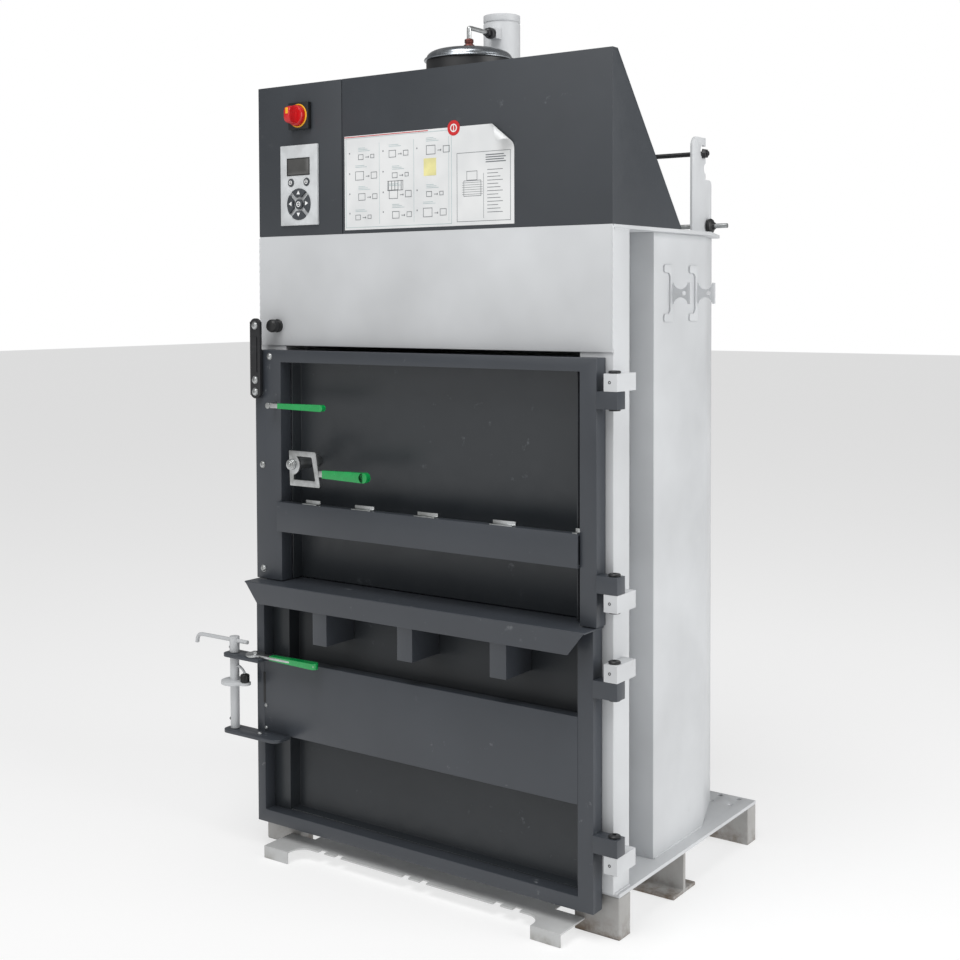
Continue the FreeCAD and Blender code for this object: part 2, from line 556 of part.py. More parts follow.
# ----------------------------------------------------------------------------- strap equipment
def build_strap_holder():
    """Two notched posts at the rear that carry the strapping rolls' rods, and the side hooks."""
    for side, word in ((-1, "left"), (1, "right")):
        low = "post_x"
        base = block_on_side(side, low, "post_front", "body_top",
                             "post_plate", "post_depth", "post_shoulder")
        neck = block_on_side(side, low, "post_front", "body_top",
                             "post_plate", "post_neck", "post_height")
        start = side_offset(side, f"{low} - 1")
        along = "X" if side > 0 else "-X"
        seat = rod(along, start, "rod_rest_y", "rod_rest_z + rest_clearance",
                   "strap_rod_radius + rest_clearance", "post_plate + 2")
        mouth = block_on_side(side, f"{low} - 1", "rod_rest_y", "rod_rest_z + 3",
                              "post_plate + 2", "post_depth", "rest_mouth")
        dip = rod(along, start, "post_front + post_neck + 4", "rod_rest_z - 34", "dip_radius",
                  "post_plate + 2")
        eye = rod(along, start, "low_rod_y", "low_rod_z", "strap_rod_radius + 0.3",
                  "post_plate + 2")
        keep(f"strap_post_{word}", cut(fuse(base, neck), seat, mouth, dip, eye))

    reach = "post_x + post_plate + rod_overhang"
    shaft = rod("X", f"-({reach})", "rod_rest_y", "rod_rest_z + 0.3", "strap_rod_radius",
                f"2 * ({reach})")
    ends = []
    for side in (-1, 1):
        along = "X" if side > 0 else "-X"
        ends.append(rod(along, side_offset(side, "post_x + post_plate + 0.5"), "rod_rest_y",
                        "rod_rest_z + 0.3", "rod_head_radius", "rod_head"))
    keep("strap_rod_upper", fuse(shaft, *ends))

    reach = "post_x + post_plate + low_rod_overhang"
    shaft = rod("X", f"-({reach})", "low_rod_y", "low_rod_z", "strap_rod_radius",
                f"2 * ({reach})")
    ends = []
    for side in (-1, 1):
        along = "X" if side > 0 else "-X"
        ends.append(rod(along, side_offset(side, "post_x + post_plate + 0.5"), "low_rod_y",
                        "low_rod_z", "strap_knob_radius", "strap_knob"))
    keep("strap_rod_lower", fuse(shaft, *ends))

    hooks = []
    middle = "(hook_bottom + hook_height / 2)"
    for place in (0, 1):
        y = f"hook_first + {place} * hook_pitch"
        flange = box("hook_wall", f"{y} + hook_plate - hook_flange", "hook_bottom",
                     "hook_plate", "hook_flange", "hook_height")
        plate = box("hook_wall", y, f"{middle} - hook_horn / 2",
                    "hook_reach", "hook_plate", "hook_horn")
        scoops = [rod("Y", "hook_wall + hook_reach / 2", f"{y} - 1",
                      f"{middle} + {edge} * (hook_neck / 2 + hook_scoop)", "hook_scoop",
                      "hook_plate + 2") for edge in (-1, 1)]
        eye = rod("Y", "hook_wall + hook_reach / 2 + 8", f"{y} - 1", middle, "hook_eye",
                  "hook_plate + 2")
        hooks.append(fuse(flange, cut(plate, *scoops, eye)))
    keep("strap_hooks", gather(*hooks))


# ------------------------------------------------------------------------------------- doors
def build_upper_door():
    """Upper door: welded frame, recessed panel, cross rail, levers, interlock arm."""
    back = "door_front - door_gap"
    width = "upper_left + upper_right"
    height = "upper_top - upper_bottom"
    slab = box("-upper_left", "-door_front", "upper_bottom", width, back, height)
    window = box("-upper_left + upper_left_stile", "-door_front - 1", "upper_bottom - 1",
                 f"{width} - upper_left_stile - upper_right_stile", f"{back} + 2",
                 f"{height} - upper_top_rail + 1")
    keep("upper_door_frame", cut(slab, window))

    left = "upper_left - upper_left_stile"
    right = "tray_half"
    tray = box(f"-({left})", "-door_gap", "upper_bottom", f"{left} + {right}",
               "door_recess + door_sheet + door_gap", f"{height} - upper_top_rail + door_sheet")
    room = box(f"-({left}) + door_sheet", "-door_gap - 1", "upper_bottom - 1",
               f"{left} + {right} - 2 * door_sheet", "door_recess + door_gap + 1",
               f"{height} - upper_top_rail + 1")
    keep("upper_door_panel", cut(tray, room))

    start = f"-({left}) - cross_lap"
    length = f"{left} + cross_lap + upper_right - upper_right_stile"
    rail = box(start, "-cross_front", "cross_bottom", length, "cross_proud", "cross_height")
    core = box(f"-({left})", "-door_front", "cross_bottom", f"{length} - cross_lap",
               "cross_depth - cross_proud", "cross_height")
    room = box(f"-({left}) - 1", "-cross_front + door_sheet", "cross_bottom + door_sheet",
               f"{length} + 2", "cross_depth", "cross_height - 2 * door_sheet")
    keep("upper_door_cross_rail", cut(fuse(rail, core), room))

    front = "-door_front"
    heads = []
    for x, z in (("arm_left - 55", "upper_top - 15"), ("upper_left - screw_edge", "latch_z - 10"),
                 ("upper_left - screw_edge", "upper_bottom + 24")):
        heads.append(rod("-Y", f"-({x})", front, z, "screw_radius", "screw_head"))
    keep("door_screws", gather(*heads))

    hub = rod("-Y", "-pull_x", f"{front} - hub_gap", "pull_z", "pull_hub",
              "pull_y + pull_bar / 2 - door_front - hub_gap + pull_hub_head")
    bar = box("-pull_x", "-pull_y - pull_bar / 2", "pull_z - pull_height / 2",
              "pull_reach - grip_end", "pull_bar", "pull_height")
    keep("pull_lever", fuse(hub, bar))
    grip = box("-pull_x + grip_bare", "-pull_y - grip_depth / 2", "pull_z - grip_height / 2",
               "pull_reach - grip_bare", "grip_depth", "grip_height")
    slot = box("-pull_x + grip_bare - 1", "-pull_y - pull_bar / 2", "pull_z - pull_height / 2",
               "pull_reach - grip_bare - grip_end + 1", "pull_bar", "pull_height")
    keep("pull_grip", cut(grip, slot))

    post = rod("-Y", "-latch_x", "door_recess", "latch_z", "latch_bolt + 5",
               "door_recess + latch_y - latch_plate / 2 - hub_gap")
    pivot = rod("-Y", "-latch_x", "-latch_y + latch_plate / 2 + 1", "latch_z",
                "latch_bolt - 1", "latch_plate + 4")
    head = rod("-Y", "-latch_x", "-latch_y - latch_plate / 2 - 0.5", "latch_z",
               "latch_bolt + 3", "7")
    keep("latch_bolt", fuse(post, pivot, head))
    plate_y = "-latch_y - latch_plate / 2"
    plate = box("-latch_x", plate_y, "latch_z - latch_low",
                "latch_right", "latch_plate", "latch_low + latch_high")
    boss = rod("Y", "-latch_x", plate_y, "latch_z", "latch_bolt + latch_boss", "latch_plate")
    window = box("-latch_x + latch_right - latch_frame + 4 - latch_window", f"{plate_y} - 1",
                 "latch_z - latch_low + latch_frame", "latch_window", "latch_plate + 2",
                 "latch_low + latch_high - 2 * latch_frame")
    tang = box("-latch_x + latch_right - 2", plate_y, "latch_z - latch_drop - latch_tang / 2",
               "latch_grip + 2", "latch_plate", "latch_tang")
    hole = rod("Y", "-latch_x", f"{plate_y} - 1", "latch_z", "latch_bolt - 0.7", "latch_plate + 2")
    keep("latch_lever", cut(fuse(cut(plate, window), boss, tang), hole))
    grip = box("-latch_x + latch_right + 8", "-latch_y - latch_grip_depth / 2",
               "latch_z - latch_drop - latch_grip_height / 2", "latch_grip", "latch_grip_depth",
               "latch_grip_height")
    slot = box("-latch_x + latch_right + 7", plate_y, "latch_z - latch_drop - latch_tang / 2",
               "latch_grip - 7", "latch_plate", "latch_tang")
    keep("latch_grip", cut(grip, slot))

    arm_y = "-door_front - arm_standoff - arm_plate"
    bar = box("-arm_left", arm_y, "arm_bottom", "arm_width", "arm_plate", "arm_height")
    low_bolts = ("arm_bottom + arm_bolt_low", "arm_bottom + arm_bolt_high")
    feet = [rod("-Y", "-arm_left + arm_width / 2 + arm_foot_shift", front, z, "arm_foot",
                "arm_standoff + 1") for z in low_bolts]
    heads = [rod("-Y", "-arm_left + arm_width / 2", f"{arm_y} + 1", z, "arm_foot",
                 "arm_bolt_head + 1")
             for z in (*low_bolts, "arm_bottom + arm_height - arm_bolt_top")]
    keep("interlock_arm", fuse(bar, *feet, *heads))
    keep("interlock_switch", rod("-Y", "-sensor_x", "-header_sheet", "sensor_z",
                                 "sensor_radius", "sensor_length"))


def build_lower_door():
    """Lower door: frame, tray, wide rail and the flared lip on top with its stubs."""
    back = "door_front - door_gap"
    width = "lower_left + lower_right"
    top = "lower_top - lip_sheet"
    slab = box("-lower_left", "-door_front", "lower_bottom", width, back, f"{top} - lower_bottom")
    window = box("-lower_left + lower_left_stile", "-door_front - 1",
                 "lower_bottom + lower_bottom_rail",
                 f"{width} - lower_left_stile - lower_right_stile", f"{back} + 2",
                 f"{top} - lower_bottom - lower_bottom_rail + 1")
    keep("lower_door_frame", cut(slab, window))

    half = "tray_half"
    low = "plate_bottom + foot_slack"
    tray = box(f"-({half})", "-door_gap", low, f"2 * ({half})",
               "door_recess + door_sheet + door_gap", f"{top} - ({low})")
    wing = box("-lower_left + lower_left_stile", "-door_gap - door_sheet",
                "lower_bottom + lower_bottom_rail",
                f"lower_left - lower_left_stile - ({half}) + door_sheet", "door_sheet",
                f"{top} - lower_bottom - lower_bottom_rail")
    room = box(f"-({half}) + door_sheet", "-door_gap - door_sheet - 1",
               f"{low} + door_sheet", f"2 * ({half}) - 2 * door_sheet",
               "door_recess + door_gap + door_sheet + 1", f"{top} - ({low})")
    keep("lower_door_panel", cut(fuse(tray, wing), room))

    length = f"{width} - lower_left_stile - lower_right_stile"
    start = "-lower_left + lower_left_stile"
    rail = box(start, "-door_front", "wide_bottom", length, "wide_depth", "wide_height")
    room = box(f"{start} - 1", "-door_front + door_sheet", "wide_bottom + door_sheet",
               f"{length} + 2", "wide_depth", "wide_height - 2 * door_sheet")
    keep("lower_door_wide_rail", cut(rail, room))

    drop = "lip_height"
    span = "lip_left + lip_right"
    apron = profile("XZ_Plane", [("lip_cut", "0"), (f"{span} - lip_cut", "0"), (span, drop),
                                 ("0", drop)],
                    "lip_sheet", ("-lip_left", "-lip_front", "lip_bottom"))
    shelf = box("-lip_left", "-lip_front", top, span, "lip_front - door_gap", "lip_sheet")
    tongue = box(f"-({half})", "-door_gap - 1", top, f"2 * ({half})",
                 "door_recess + door_sheet + door_gap + 1", "lip_sheet")
    stubs = []
    for place in (-1, 0, 1):
        left = f"{place} * strap_pitch - stub_width / 2"
        tube = box(left, "-stub_front", "stub_bottom", "stub_width", "stub_front + door_recess",
                   f"{top} - stub_bottom + 1")
        room = box(f"{left} + stub_sheet", "-stub_front + stub_sheet", "stub_bottom - 1",
                   "stub_width - 2 * stub_sheet", "stub_front + door_recess - 2 * stub_sheet",
                   f"{top} - stub_bottom + 1")
        stubs.append(cut(tube, room))
    keep("lower_door_lip", fuse(apron, shelf, tongue, *stubs))


# ------------------------------------------------------------------------------------ hinges
def hinge_levels():
    """Lower edge of each hinge's lower block, and whether the fixed block is the upper one."""
    return (("upper_top - 66", True), ("upper_bottom + hinge_height", False),
            ("lower_top - 103", True), ("lower_bottom + 94", False))


def build_hinges():
    """Four lift-off style hinges: fixed block on the column, leaf on the door, pin through both."""
    fixed = []
    leaves = {"upper": [], "lower": []}
    pins = []
    step = "hinge_height"
    for index, (level, fixed_on_top) in enumerate(hinge_levels()):
        door = "upper" if index < 2 else "lower"
        edge = "upper_right" if index < 2 else "lower_right"
        leaf_z = f"{level} - {step}" if fixed_on_top else f"{level} + {step}"
        front = "-pin_y - hinge_front"
        block = box("half_body", front, level, "2 * hinge_side",
                    "pin_y + hinge_front + hinge_rear", f"{step} - hinge_slack")
        leaf = box(edge, front, leaf_z, f"pin_x + hinge_side - {edge}",
                   "pin_y + hinge_front - hinge_leaf_rear", f"{step} - hinge_slack")
        low = leaf_z if fixed_on_top else level
        tall = f"2 * {step} - hinge_slack"
        bore = "pin_radius"
        hole = rod("Z", "pin_x", "-pin_y", f"{low} - 1", f"{bore} + pin_gap", f"{tall} + 2")
        tight = rod("Z", "pin_x", "-pin_y", f"{low} - 1", bore, f"{tall} + 2")
        fixed.append(cut(block, tight))
        leaves[door].append(cut(leaf, hole))
        shaft = rod("Z", "pin_x", "-pin_y", f"{low} - pin_cap", bore, f"{tall} + 2 * pin_cap")
        caps = [rod("Z", "pin_x", "-pin_y", f"{low} - pin_cap - hinge_slack", "pin_cap_radius",
                    "pin_cap"),
                rod("Z", "pin_x", "-pin_y", f"{low} + {tall} + hinge_slack", "pin_cap_radius",
                    "pin_cap")]
        pins.append(fuse(shaft, *caps))
    keep("hinge_blocks_fixed", gather(*fixed))
    for door, group in leaves.items():
        keep(f"{door}_door_hinge_leaves", gather(*group))
    keep("hinge_pins", gather(*pins))


# -------------------------------------------------------------------------------------- lock
def build_lock():
    """Lock at the free edge of the lower door: two lugs, turning tube, lever and keeper."""
    y = "-door_front - lug_depth"
    left = "-lock_x - lug_left"
    lugs = []
    for level, reach in (("lock_high", "lug_reach"), ("lock_low - lug_plate", "lug_low_reach")):
        plate = box(left, y, level, f"lug_left + {reach}", "lug_depth", "lug_plate")
        hole = rod("Z", "-lock_x", "-lock_y", f"{level} - 1", "lock_spindle + hub_gap",
                   "lug_plate + 2")
        lugs.append(cut(plate, hole))
    keep("lock_lugs", gather(*lugs))

    tube = rod("Z", "-lock_x", "-lock_y", "lock_low + lug_gap", "lock_tube_radius",
               "lock_high - lock_low - 2 * lug_gap")
    spindle = rod("Z", "-lock_x", "-lock_y", "lock_low - lug_plate - spindle_tail", "lock_spindle",
                  "lock_tube_top - lock_low + lug_plate + spindle_tail")
    head = rod("Z", "-lock_x", "-lock_y", "lock_high + lug_plate + lug_gap", "lock_head",
               "lock_tube_top - lock_high - lug_plate - lug_gap + 2 * lock_rod_radius")
    flange = rod("Z", "-lock_x", "-lock_y", "lock_flange_z", "lock_flange_radius", "lock_flange")
    keep("lock_tube", fuse(tube, spindle, head, flange))
    keep("lock_roller", rod("Z", "-lock_x + roller_offset", "-lock_y",
                            "lock_flange_z + lock_flange", "roller_radius", "roller_length"))

    start = "-lock_x - lock_rod_left"
    bar = rod("X", start, "-lock_y", "lock_tube_top", "lock_rod_radius",
              "lock_rod_left + lock_rod_right")
    knee = doc.addObject("Part::Sphere", "Knee")
    bind(knee, Radius="lock_rod_radius")
    move(knee, start, "-lock_y", "lock_tube_top")
    hook = rod("-Z", start, "-lock_y", "lock_tube_top", "lock_rod_radius", "lock_rod_hook")
    drum = rod("Z", "-lock_x", "-lock_y", "lock_tube_top - 2 * lock_rod_radius", "lock_head",
               "4 * lock_rod_radius")
    keep("lock_rod", cut(fuse(bar, knee, hook), drum))

    lever_z = "lock_high + lug_plate + lug_gap"
    hub = rod("Z", "-lever_x", "-lock_y", lever_z, "lever_hub", "lever_plate")
    bar = box("-lever_x", "-lock_y - lever_depth / 2", lever_z, "lever_reach - grip_end",
              "lever_depth", "lever_plate")
    screw = rod("Z", "-lever_x", "-lock_y", f"{lever_z} + lever_plate - 1", "lever_screw",
                "lever_screw_head + 1")
    keep("lock_lever", fuse(hub, bar, screw))
    grip = box("-lever_x + lever_bare", "-lock_y - lever_grip_depth / 2",
               f"{lever_z} + lever_plate / 2 - lever_grip_height / 2",
               "lever_reach - lever_bare", "lever_grip_depth", "lever_grip_height")
    slot = box("-lever_x + lever_bare - 1", "-lock_y - lever_depth / 2", lever_z,
               "lever_reach - lever_bare - grip_end + 1", "lever_depth", "lever_plate")
    keep("lock_grip", cut(grip, slot))

    keep("lock_keeper", box("-half_body - keeper_plate", "keeper_front", "keeper_bottom",
                            "keeper_plate", "keeper_depth", "keeper_height"))


build_base()
build_threshold()
build_body()
build_hood()
build_controls()
build_press()
build_strap_holder()
build_upper_door()
build_lower_door()
build_hinges()
build_lock()
doc.recompute()

troubles = [item.Name + " " + item.Label for item in doc.Objects
            if "Invalid" in item.State or "Error" in item.State]
for item in nodes:
    if item.Shape.isNull() or not item.Shape.isValid():
        troubles.append("bad shape: " + item.Label)
if troubles:
    raise RuntimeError("; ".join(troubles))

os.makedirs("parts", exist_ok=True)
for item in nodes:
    item.Shape.exportStep(f"parts/{item.Label}.step")
print(f"{len(nodes)} sub-parts written")
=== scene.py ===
"""Upright cardboard baler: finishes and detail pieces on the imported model.

Everything is in metres in the model's own frame: +X right, +Y to the rear, +Z up.
"""
import logging
import math
from dataclasses import dataclass
from enum import Enum

import bpy
from mathutils import Matrix, Vector


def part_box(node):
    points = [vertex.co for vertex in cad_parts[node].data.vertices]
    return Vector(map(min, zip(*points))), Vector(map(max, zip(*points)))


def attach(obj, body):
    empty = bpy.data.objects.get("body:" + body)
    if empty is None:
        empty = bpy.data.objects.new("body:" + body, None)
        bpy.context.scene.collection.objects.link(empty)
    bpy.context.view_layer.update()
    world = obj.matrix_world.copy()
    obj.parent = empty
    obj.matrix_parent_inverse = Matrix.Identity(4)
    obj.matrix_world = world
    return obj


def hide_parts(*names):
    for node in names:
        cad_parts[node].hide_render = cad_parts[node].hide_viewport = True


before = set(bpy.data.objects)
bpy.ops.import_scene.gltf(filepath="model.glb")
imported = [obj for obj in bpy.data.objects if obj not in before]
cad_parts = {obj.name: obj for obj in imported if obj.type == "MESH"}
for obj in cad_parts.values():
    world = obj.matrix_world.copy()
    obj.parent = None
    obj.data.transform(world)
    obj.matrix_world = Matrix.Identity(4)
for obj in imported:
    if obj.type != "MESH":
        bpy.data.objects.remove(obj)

log = logging.getLogger("baler")
MM = 0.001
MERGE = 0.01 * MM
FLAT = math.radians(0.5)
SMOOTH = math.radians(40)
Point = tuple[float, float, float]
Piece = bpy.types.Object
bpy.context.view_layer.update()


class Body(Enum):
    """The moving bodies that a piece can ride on."""

    BASE = "base"
    RAM = "ram"
    UPPER = "upper_door"
    LOWER = "lower_door"
    PULL = "pull_handle"
    LATCH = "latch_handle"
    LOCK = "lock_shaft"
    LOCK_LEVER = "lock_handle"
    SWITCH = "main_switch"
    MENU = "menu_button"
    ENTER = "enter_button"
    ARROWS = "arrow_button"
    STOP = "stop_button"


class Along(Enum):
    """The direction of a turned piece's axis, as the turn that takes +Z there."""

    RIGHT = (0.0, math.pi / 2, 0.0)
    LEFT = (0.0, -math.pi / 2, 0.0)
    FRONT = (math.pi / 2, 0.0, 0.0)
    REAR = (-math.pi / 2, 0.0, 0.0)
    UP = (0.0, 0.0, 0.0)
    DOWN = (math.pi, 0.0, 0.0)


# ------------------------------------------------------------------------------------ materials
def linear(hex_colour: str) -> tuple[float, float, float, float]:
    """Turn an sRGB hex colour into linear values.

    Args:
        hex_colour: Six hex digits.

    Returns:
        Linear red, green, blue and an alpha of one.
    """
    parts = [int(hex_colour[index:index + 2], 16) / 255 for index in (0, 2, 4)]
    values = [part / 12.92 if part <= 0.04045 else ((part + 0.055) / 1.055) ** 2.4
              for part in parts]
    return (values[0], values[1], values[2], 1.0)


def node(tree: bpy.types.NodeTree, kind: str, links: dict | None = None,
         **settings: object) -> bpy.types.Node:
    """Add a shader node with its settings and links.

    Args:
        tree: The material's node tree.
        kind: The node's type name.
        links: Input name or number to an output socket or a value.
        **settings: Attributes set on the node.

    Returns:
        The new node.
    """
    made = tree.nodes.new(kind)
    for name, value in settings.items():
        setattr(made, name, value)
    for name, value in (links or {}).items():
        if isinstance(value, bpy.types.NodeSocket):
            tree.links.new(value, made.inputs[name])
        else:
            made.inputs[name].default_value = value
    return made


def blank(name: str) -> tuple[bpy.types.Material, bpy.types.NodeTree, bpy.types.Node,
                              bpy.types.NodeSocket]:
    """Start a material with a Principled shader.

    Args:
        name: The material's name.

    Returns:
        The material, its tree, its shader and the object coordinates' socket.
    """
    material = bpy.data.materials.new(name)
    material.use_nodes = True
    tree = material.node_tree
    shader = tree.nodes["Principled BSDF"]
    place = node(tree, "ShaderNodeTexCoord").outputs["Object"]
    return material, tree, shader, place


def ramp(tree: bpy.types.NodeTree, source: bpy.types.NodeSocket, low: float, high: float,
         start: float, end: float) -> bpy.types.NodeSocket:
    """Map a value's range onto another, clamped.

    Args:
        tree: The material's node tree.
        source: The value to map.
        low: The source value that gives start.
        high: The source value that gives end.
        start: The result at low.
        end: The result at high.

    Returns:
        The mapped value's socket.
    """
    mapped = node(tree, "ShaderNodeMapRange", {0: source, 1: low, 2: high, 3: start, 4: end})
    return mapped.outputs[0]


def blend_colours(tree: bpy.types.NodeTree, amount: bpy.types.NodeSocket, first: object,
                  second: object) -> bpy.types.NodeSocket:
    """Mix two colours.

    Args:
        tree: The material's node tree.
        amount: How much of the second colour shows.
        first: The first colour or its socket.
        second: The second colour or its socket.

    Returns:
        The mixed colour's socket.
    """
    mix = node(tree, "ShaderNodeMix", {0: amount, 6: first, 7: second}, data_type="RGBA")
    return mix.outputs[2]


@dataclass(frozen=True)
class PowderCoat:
    """Polyester powder coat on sheet steel: a sprayed, oven-melted skin with a faint orange peel."""

    name: str
    colour: str
    scuff: str
    roughness: float = 0.42
    scuffs: float = 0.12
    peel_mm: float = 3.0
    cloud_mm: float = 260.0

    def build(self) -> bpy.types.Material:
        """Make the material.

        Returns:
            The material.
        """
        material, tree, shader, place = blank(self.name)
        # Thickness of the coat varies slowly over the sheet, which shows as faint clouds.
        clouds = node(tree, "ShaderNodeTexNoise", {"Vector": place, "Scale": 1 / (self.cloud_mm * MM),
                                                   "Detail": 3.0}).outputs["Fac"]
        shade = ramp(tree, clouds, 0.3, 0.7, 0.9, 1.08)
        base = linear(self.colour)
        tinted = node(tree, "ShaderNodeMix", {0: 1.0, 6: base, 7: shade}, data_type="RGBA",
                      blend_type="MULTIPLY").outputs[2]
        # Cartons rub small pale scuffs into the coat.
        rub = node(tree, "ShaderNodeTexNoise", {"Vector": place, "Scale": 1 / (38 * MM),
                                                "Detail": 8.0, "Roughness": 0.72}).outputs["Fac"]
        where = node(tree, "ShaderNodeTexNoise", {"Vector": place, "Scale": 1 / (310 * MM),
                                                  "Detail": 2.0}).outputs["Fac"]
        marks = node(tree, "ShaderNodeMath", {0: ramp(tree, rub, 0.62, 0.72, 0.0, 1.0),
                                              1: ramp(tree, where, 0.5, 0.62, 0.0, self.scuffs)},
                     operation="MULTIPLY").outputs[0]
        colour = blend_colours(tree, marks, tinted, linear(self.scuff))
        tree.links.new(colour, shader.inputs["Base Color"])
        tree.links.new(ramp(tree, rub, 0.3, 0.7, self.roughness - 0.05, self.roughness + 0.08),
                       shader.inputs["Roughness"])
        peel = node(tree, "ShaderNodeTexNoise", {"Vector": place, "Scale": 1 / (self.peel_mm * MM),
                                                 "Detail": 1.0}).outputs["Fac"]
        bump = node(tree, "ShaderNodeBump", {"Height": peel, "Strength": 0.12,
                                             "Distance": 0.1 * MM})
        tree.links.new(bump.outputs[0], shader.inputs["Normal"])
        shader.inputs["IOR"].default_value = 1.5
        return material


@dataclass(frozen=True)
class FloorGrime:
    """Powder coat near the floor: rust-brown dust and dried spills, heavier towards the floor."""

    name: str
    colour: str
    dirt: str
    reach_mm: float = 45.0

    def build(self) -> bpy.types.Material:
        """Make the material.

        Returns:
            The material.
        """
        material, tree, shader, place = blank(self.name)
        stains = node(tree, "ShaderNodeTexNoise", {"Vector": place, "Scale": 1 / (70 * MM),
                                                   "Detail": 9.0, "Roughness": 0.65}).outputs["Fac"]
        parts = node(tree, "ShaderNodeSeparateXYZ", {0: place})
        depth = ramp(tree, parts.outputs["Z"], 0.0, self.reach_mm * MM, 0.95, 0.12)
        amount = node(tree, "ShaderNodeMath", {0: ramp(tree, stains, 0.42, 0.62, 0.0, 1.0), 1: depth},
                      operation="MULTIPLY").outputs[0]
        colour = blend_colours(tree, amount, linear(self.colour), linear(self.dirt))
        tree.links.new(colour, shader.inputs["Base Color"])
        tree.links.new(ramp(tree, amount, 0.0, 1.0, 0.42, 0.85), shader.inputs["Roughness"])
        bump = node(tree, "ShaderNodeBump", {"Height": stains, "Strength": 0.25,
                                             "Distance": 0.3 * MM})
        tree.links.new(bump.outputs[0], shader.inputs["Normal"])
        return material


@dataclass(frozen=True)
class Metal:
    """Bare or plated metal with fine drawn or rolled lines along one direction."""

    name: str
    colour: str
    shade: str
    roughness: float
    stretch: Point = (1.0, 1.0, 1.0)
    line_mm: float = 2.5
    depth: float = 0.15

    def build(self) -> bpy.types.Material:
        """Make the material.

        Returns:
            The material.
        """
        material, tree, shader, place = blank(self.name)
        lines = node(tree, "ShaderNodeMapping", {"Vector": place, "Scale": self.stretch})
        grain = node(tree, "ShaderNodeTexNoise", {"Vector": lines.outputs[0],
                                                  "Scale": 1 / (self.line_mm * MM),
                                                  "Detail": 4.0}).outputs["Fac"]
        clouds = node(tree, "ShaderNodeTexNoise", {"Vector": place, "Scale": 1 / (22 * MM),
                                                   "Detail": 5.0}).outputs["Fac"]
        mixed = blend_colours(tree, ramp(tree, clouds, 0.35, 0.65, 0.0, 1.0), linear(self.colour),
                              linear(self.shade))
        tree.links.new(mixed, shader.inputs["Base Color"])
        shader.inputs["Metallic"].default_value = 1.0
        tree.links.new(ramp(tree, grain, 0.3, 0.7, self.roughness - 0.07, self.roughness + 0.1),
                       shader.inputs["Roughness"])
        bump = node(tree, "ShaderNodeBump", {"Height": grain, "Strength": self.depth,
                                             "Distance": 0.08 * MM})
        tree.links.new(bump.outputs[0], shader.inputs["Normal"])
        return material


@dataclass(frozen=True)
class Moulded:
    """Moulded or dipped plastic: even colour, fine texture, and a clear highlight if glossy."""

    name: str
    colour: str
    roughness: float
    grain_mm: float = 1.2
    gloss: float = 0.0

    def build(self) -> bpy.types.Material:
        """Make the material.

        Returns:
            The material.
        """
        material, tree, shader, place = blank(self.name)
        grain = node(tree, "ShaderNodeTexNoise", {"Vector": place,
                                                  "Scale": 1 / (self.grain_mm * MM),
                                                  "Detail": 2.0}).outputs["Fac"]
        handling = node(tree, "ShaderNodeTexNoise", {"Vector": place, "Scale": 1 / (30 * MM),
                                                     "Detail": 3.0}).outputs["Fac"]
        shade = ramp(tree, handling, 0.3, 0.7, 0.88, 1.08)
        colour = node(tree, "ShaderNodeMix", {0: 1.0, 6: linear(self.colour), 7: shade},
                      data_type="RGBA", blend_type="MULTIPLY").outputs[2]
        tree.links.new(colour, shader.inputs["Base Color"])
        tree.links.new(ramp(tree, handling, 0.3, 0.7, self.roughness, self.roughness + 0.08),
                       shader.inputs["Roughness"])
        bump = node(tree, "ShaderNodeBump", {"Height": grain, "Strength": 0.1,
                                             "Distance": 0.06 * MM})
        tree.links.new(bump.outputs[0], shader.inputs["Normal"])
        shader.inputs["Coat Weight"].default_value = self.gloss
        shader.inputs["Coat Roughness"].default_value = 0.12
        return material


@dataclass(frozen=True)
class Paper:
    """Coated poster paper that lies a little wavy on the sheet metal."""

    name: str
    colour: str
    shade: str

    def build(self) -> bpy.types.Material:
        """Make the material.

        Returns:
            The material.
        """
        material, tree, shader, place = blank(self.name)
        waves = node(tree, "ShaderNodeTexNoise", {"Vector": place, "Scale": 1 / (85 * MM),
                                                  "Detail": 2.0}).outputs["Fac"]
        colour = blend_colours(tree, ramp(tree, waves, 0.4, 0.65, 0.0, 0.6), linear(self.colour),
                               linear(self.shade))
        tree.links.new(colour, shader.inputs["Base Color"])
        shader.inputs["Roughness"].default_value = 0.5
        bump = node(tree, "ShaderNodeBump", {"Height": waves, "Strength": 0.35,
                                             "Distance": 1.2 * MM})
        tree.links.new(bump.outputs[0], shader.inputs["Normal"])
        return material


